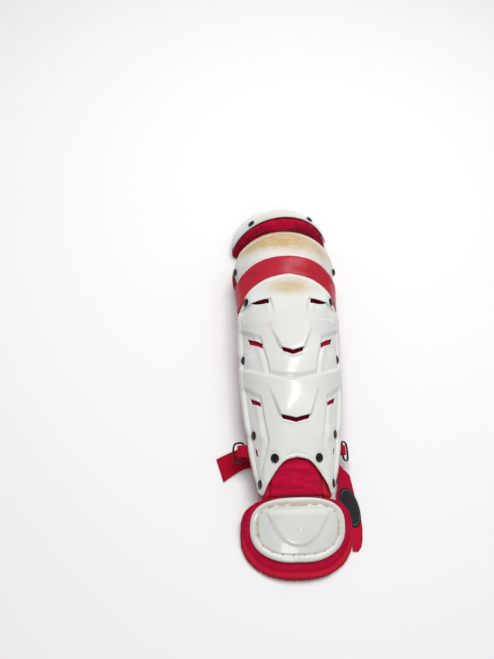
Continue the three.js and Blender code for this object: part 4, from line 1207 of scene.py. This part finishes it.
def makeLinks():
    look = {"width": 28, "offset": 38, "thick": 3, "lip": 0.34}
    for side, hand in (("left", -1), ("right", 1)):
        y = np.array([float(lining["kneeEnd"])])
        a = acrossOf(capSize, np.array([hand * look["offset"]]), y)
        start = onArch(capSize, a, y, np.array([-shellWall - 0.85 * lining["thick"]]))[0]
        knee = onArch(capSize, a + 0.1, y)[0] - onArch(capSize, a - 0.1, y)[0]
        start[1] = lining["kneeEnd"] + 2 * clearance
        lip, zero = np.array([hand * look["lip"]]), np.array([0.0])
        within = shellWall + clearance + 0.6 * thigh["pad"]
        out = 0.6 * thigh["lip"]
        end = onThigh(lip, zero, within, out)[0]
        beside = onThigh(lip, zero + 0.02, within, out)[0]
        across = onThigh(lip + 0.1, zero, within, out)[0] - onThigh(lip - 0.1, zero, within, out)[0]
        away = unit(end - beside)
        lead = end + away * 2 * look["thick"]
        end = end + away * 2 * clearance
        knee, across = unit(knee) * look["width"], unit(across) * look["width"]
        capEnd = cap["start"] + cap["length"]
        rim = np.array([start[0], capEnd - shellWall, cap["edge"] - 3.8 * look["thick"]])
        dip = lerp(start, rim, 0.5)
        dip[2] = rim[2] + look["thick"]

        def edge(t):
            return -lerp(knee[None, :], across[None, :], np.asarray(t)[:, None])

        route, nodes, thick = [start, dip, rim, lead, end], [f"thigh_link_{side}"], look["thick"] - 0.3
        # the links take the darkened webbing, painted shade for their place under the thigh pad
        strapPiece(f"thighLink_{side}", route, edge, look["width"], thick, nodes, shadedWebbing, steps=50)


makeAnkleStrap()
makeBackStraps()
makeRings()
makeLinks()
print("webbing and rings made")

instepRows = [0, 0.17, 0.39, 0.59, 0.7, 0.79, 0.94, 1]
instep = {
    "inner": curve(instepRows, [0.9, 0.85, 0.77, 0.86, 0.998, 0.99, 0.975, 0.97]),
    "outer": curve(instepRows, [0.985, 1.03, 1.1, 1.165, 1.18, 1.175, 1.13, 1.05]),
    "height": curve(instepRows, [0.29, 0.15, 0.05, 0.015, 0.008, 0.008, 0.008, 0.008]),
    "start": -4.8, "end": -118, "thick": 2.2,  # it starts at the ring's lower edge
    "patch": (76.6, -62.3), "patchSize": (25, 54), "patchTurn": math.radians(15),
}


def makeInstep():
    def height(y):
        return toe["half"] * instep["height"]((y - instep["start"]) / (instep["end"] - instep["start"]))

    def face(a, t):
        y = lerp(instep["start"], instep["end"], t)
        z = height(y)
        sewn = np.array([wingFace(1, yy, zz) for yy, zz in zip(y, z)]) + clearance
        inner = lerp(sewn, toe["half"] * instep["inner"](t), smooth(4 * t))
        outer = lerp(sewn + 7, toe["half"] * instep["outer"](t), smooth(0.15 + 5 * t))
        x = lerp(outer, inner, (1 - a) / 2)
        hem = 0.5 * smooth(1 - (1 - a) * 9) - 0.5 * np.exp(-(((a - 0.74) / 0.05) ** 2))
        folds = 0.3 * (np.sin(y / 4.2 + 1.8 * a) - 1) * smooth(1 - t * 1.5)
        return stack(x, y, z + instep["thick"] - 0.2 + np.minimum(hem + folds, 0.3))

    bm = gridMesh(24, 90, face, (25, 111))
    bm.normal_update()
    bmesh.ops.reverse_faces(bm, faces=[f for f in bm.faces if f.normal.z < 0])
    obj = finished("instepPanel", bm, cloth, ["instep_panel"])
    wall(obj, instep["thick"] - 0.5)
    setMask(obj, "paintedShade", np.zeros(len(obj.data.vertices)))
    setMask(obj, "binding", 0 * coordsOf(obj.data)[:, 0] + 0.1)

    tilt = instep["patchTurn"]
    rows = [0, 0.25, 0.36, 0.4, 0.44, 0.5, 0.55, 0.75, 1]
    shares = [0, 0.6, 0.8, 0.86, 0.92, 0.985, 1.0, 0.6, 0]
    lifts = [1.2, 1.2, 1.1, 0.75, 1.15, 1.0, 0.3, 0, 0]

    def onPanel(turn, share, lift):
        a = instep["patchSize"][0] / 2 * share * np.cos(turn)
        b = instep["patchSize"][1] / 2 * share * np.sin(turn)
        x = instep["patch"][0] + a * math.cos(tilt) - b * math.sin(tilt)
        y = instep["patch"][1] + a * math.sin(tilt) + b * math.cos(tilt)
        return stack(x, y, height(y) + instep["thick"] + clearance + lift)

    def onPatch(turn, row):
        return onPanel(turn, np.interp(row, rows, shares), np.interp(row, rows, lifts))

    finished("instepPatch", buttonMesh(72, 44, onPatch), blackRubber, ["instep_patch"])
    bm = bmesh.new()
    for k in range(44):
        turn = np.array([math.tau * k / 44, math.tau * (k + 0.4) / 44])
        a, b = onPanel(turn, np.full(2, 0.86), np.full(2, 0.95))
        made = bmesh.ops.create_uvsphere(bm, u_segments=8, v_segments=6, radius=0.35)["verts"]
        bmesh.ops.scale(bm, vec=(2.6, 1, 0.8), verts=made)
        turned = Matrix.Rotation(math.atan2(b[1] - a[1], b[0] - a[0]), 4, "Z")
        setDown(bm, made, (a + b) / 2, turned)
    finished("patchStitching", bm, blackThread)


makeInstep()
print("instep panel made")

# Floor, light and camera
floorMesh = bmesh.new()
bmesh.ops.create_grid(floorMesh, x_segments=2, y_segments=2, size=3)
floorMaterial = material("paleFloor", {"Base Color": (0.95, 0.95, 0.95, 1), "Roughness": 0.9})[0]
floorData = bpy.data.meshes.new("floor")
floorMesh.to_mesh(floorData)
floorMesh.free()
floorData.materials.append(floorMaterial)
floor = bpy.data.objects.new("floor", floorData)
floor.visible_diffuse = False  # the guard's sides stay in shade, as over a dark ground
bpy.context.scene.collection.objects.link(floor)

world = bpy.data.worlds.new("softRoom")
bpy.context.scene.world = world
world.use_nodes = True
world.node_tree.nodes["Background"].inputs["Color"].default_value = (1, 1, 1, 1)
world.node_tree.nodes["Background"].inputs["Strength"].default_value = 0.24


def softbox(name, place, target, size, power, shines=True):
    lamp = bpy.data.lights.new(name, "AREA")
    lamp.shape = "RECTANGLE"
    lamp.size, lamp.size_y = size
    lamp.energy = power
    obj = bpy.data.objects.new(name, lamp)
    obj.location = place
    obj.rotation_euler = (Vector(target) - Vector(place)).to_track_quat("-Z", "Y").to_euler()
    obj.visible_glossy = shines
    bpy.context.scene.collection.objects.link(obj)


softbox("keyLight", (0.05, 0.7, 2.0), (0, 0, 0.05), (1.3, 1.0), 33, False)
softbox("stripLight", (0.35, 0.15, 1.25), (0, 0, 0.05), (0.11, 1.1), 2.3)
softbox("frontLight", (-0.05, -1.2, 0.75), (0, -0.1, 0.05), (0.35, 0.3), 1.5)

camera = bpy.data.cameras.new("photoCamera")
cameraObject = bpy.data.objects.new("photoCamera", camera)
bpy.context.scene.collection.objects.link(cameraObject)
bpy.context.scene.camera = cameraObject
camera.sensor_width = 36
camera.lens = 510.22 * 36 / 659  # the frame's long side is 659 pixels
camera.clip_start, camera.clip_end = 0.05, 20
back = -Vector((0.0376, 0.4382, -0.8981)).normalized()
right = Vector((0.0088, 0.8985, 0.4388)).cross(back).normalized()
turned = Matrix((right, back.cross(right), back)).transposed().to_4x4()
cameraObject.matrix_world = Matrix.Translation((-0.0811, -0.2882, 0.740)) @ turned

bpy.context.scene.view_settings.view_transform = "Standard"
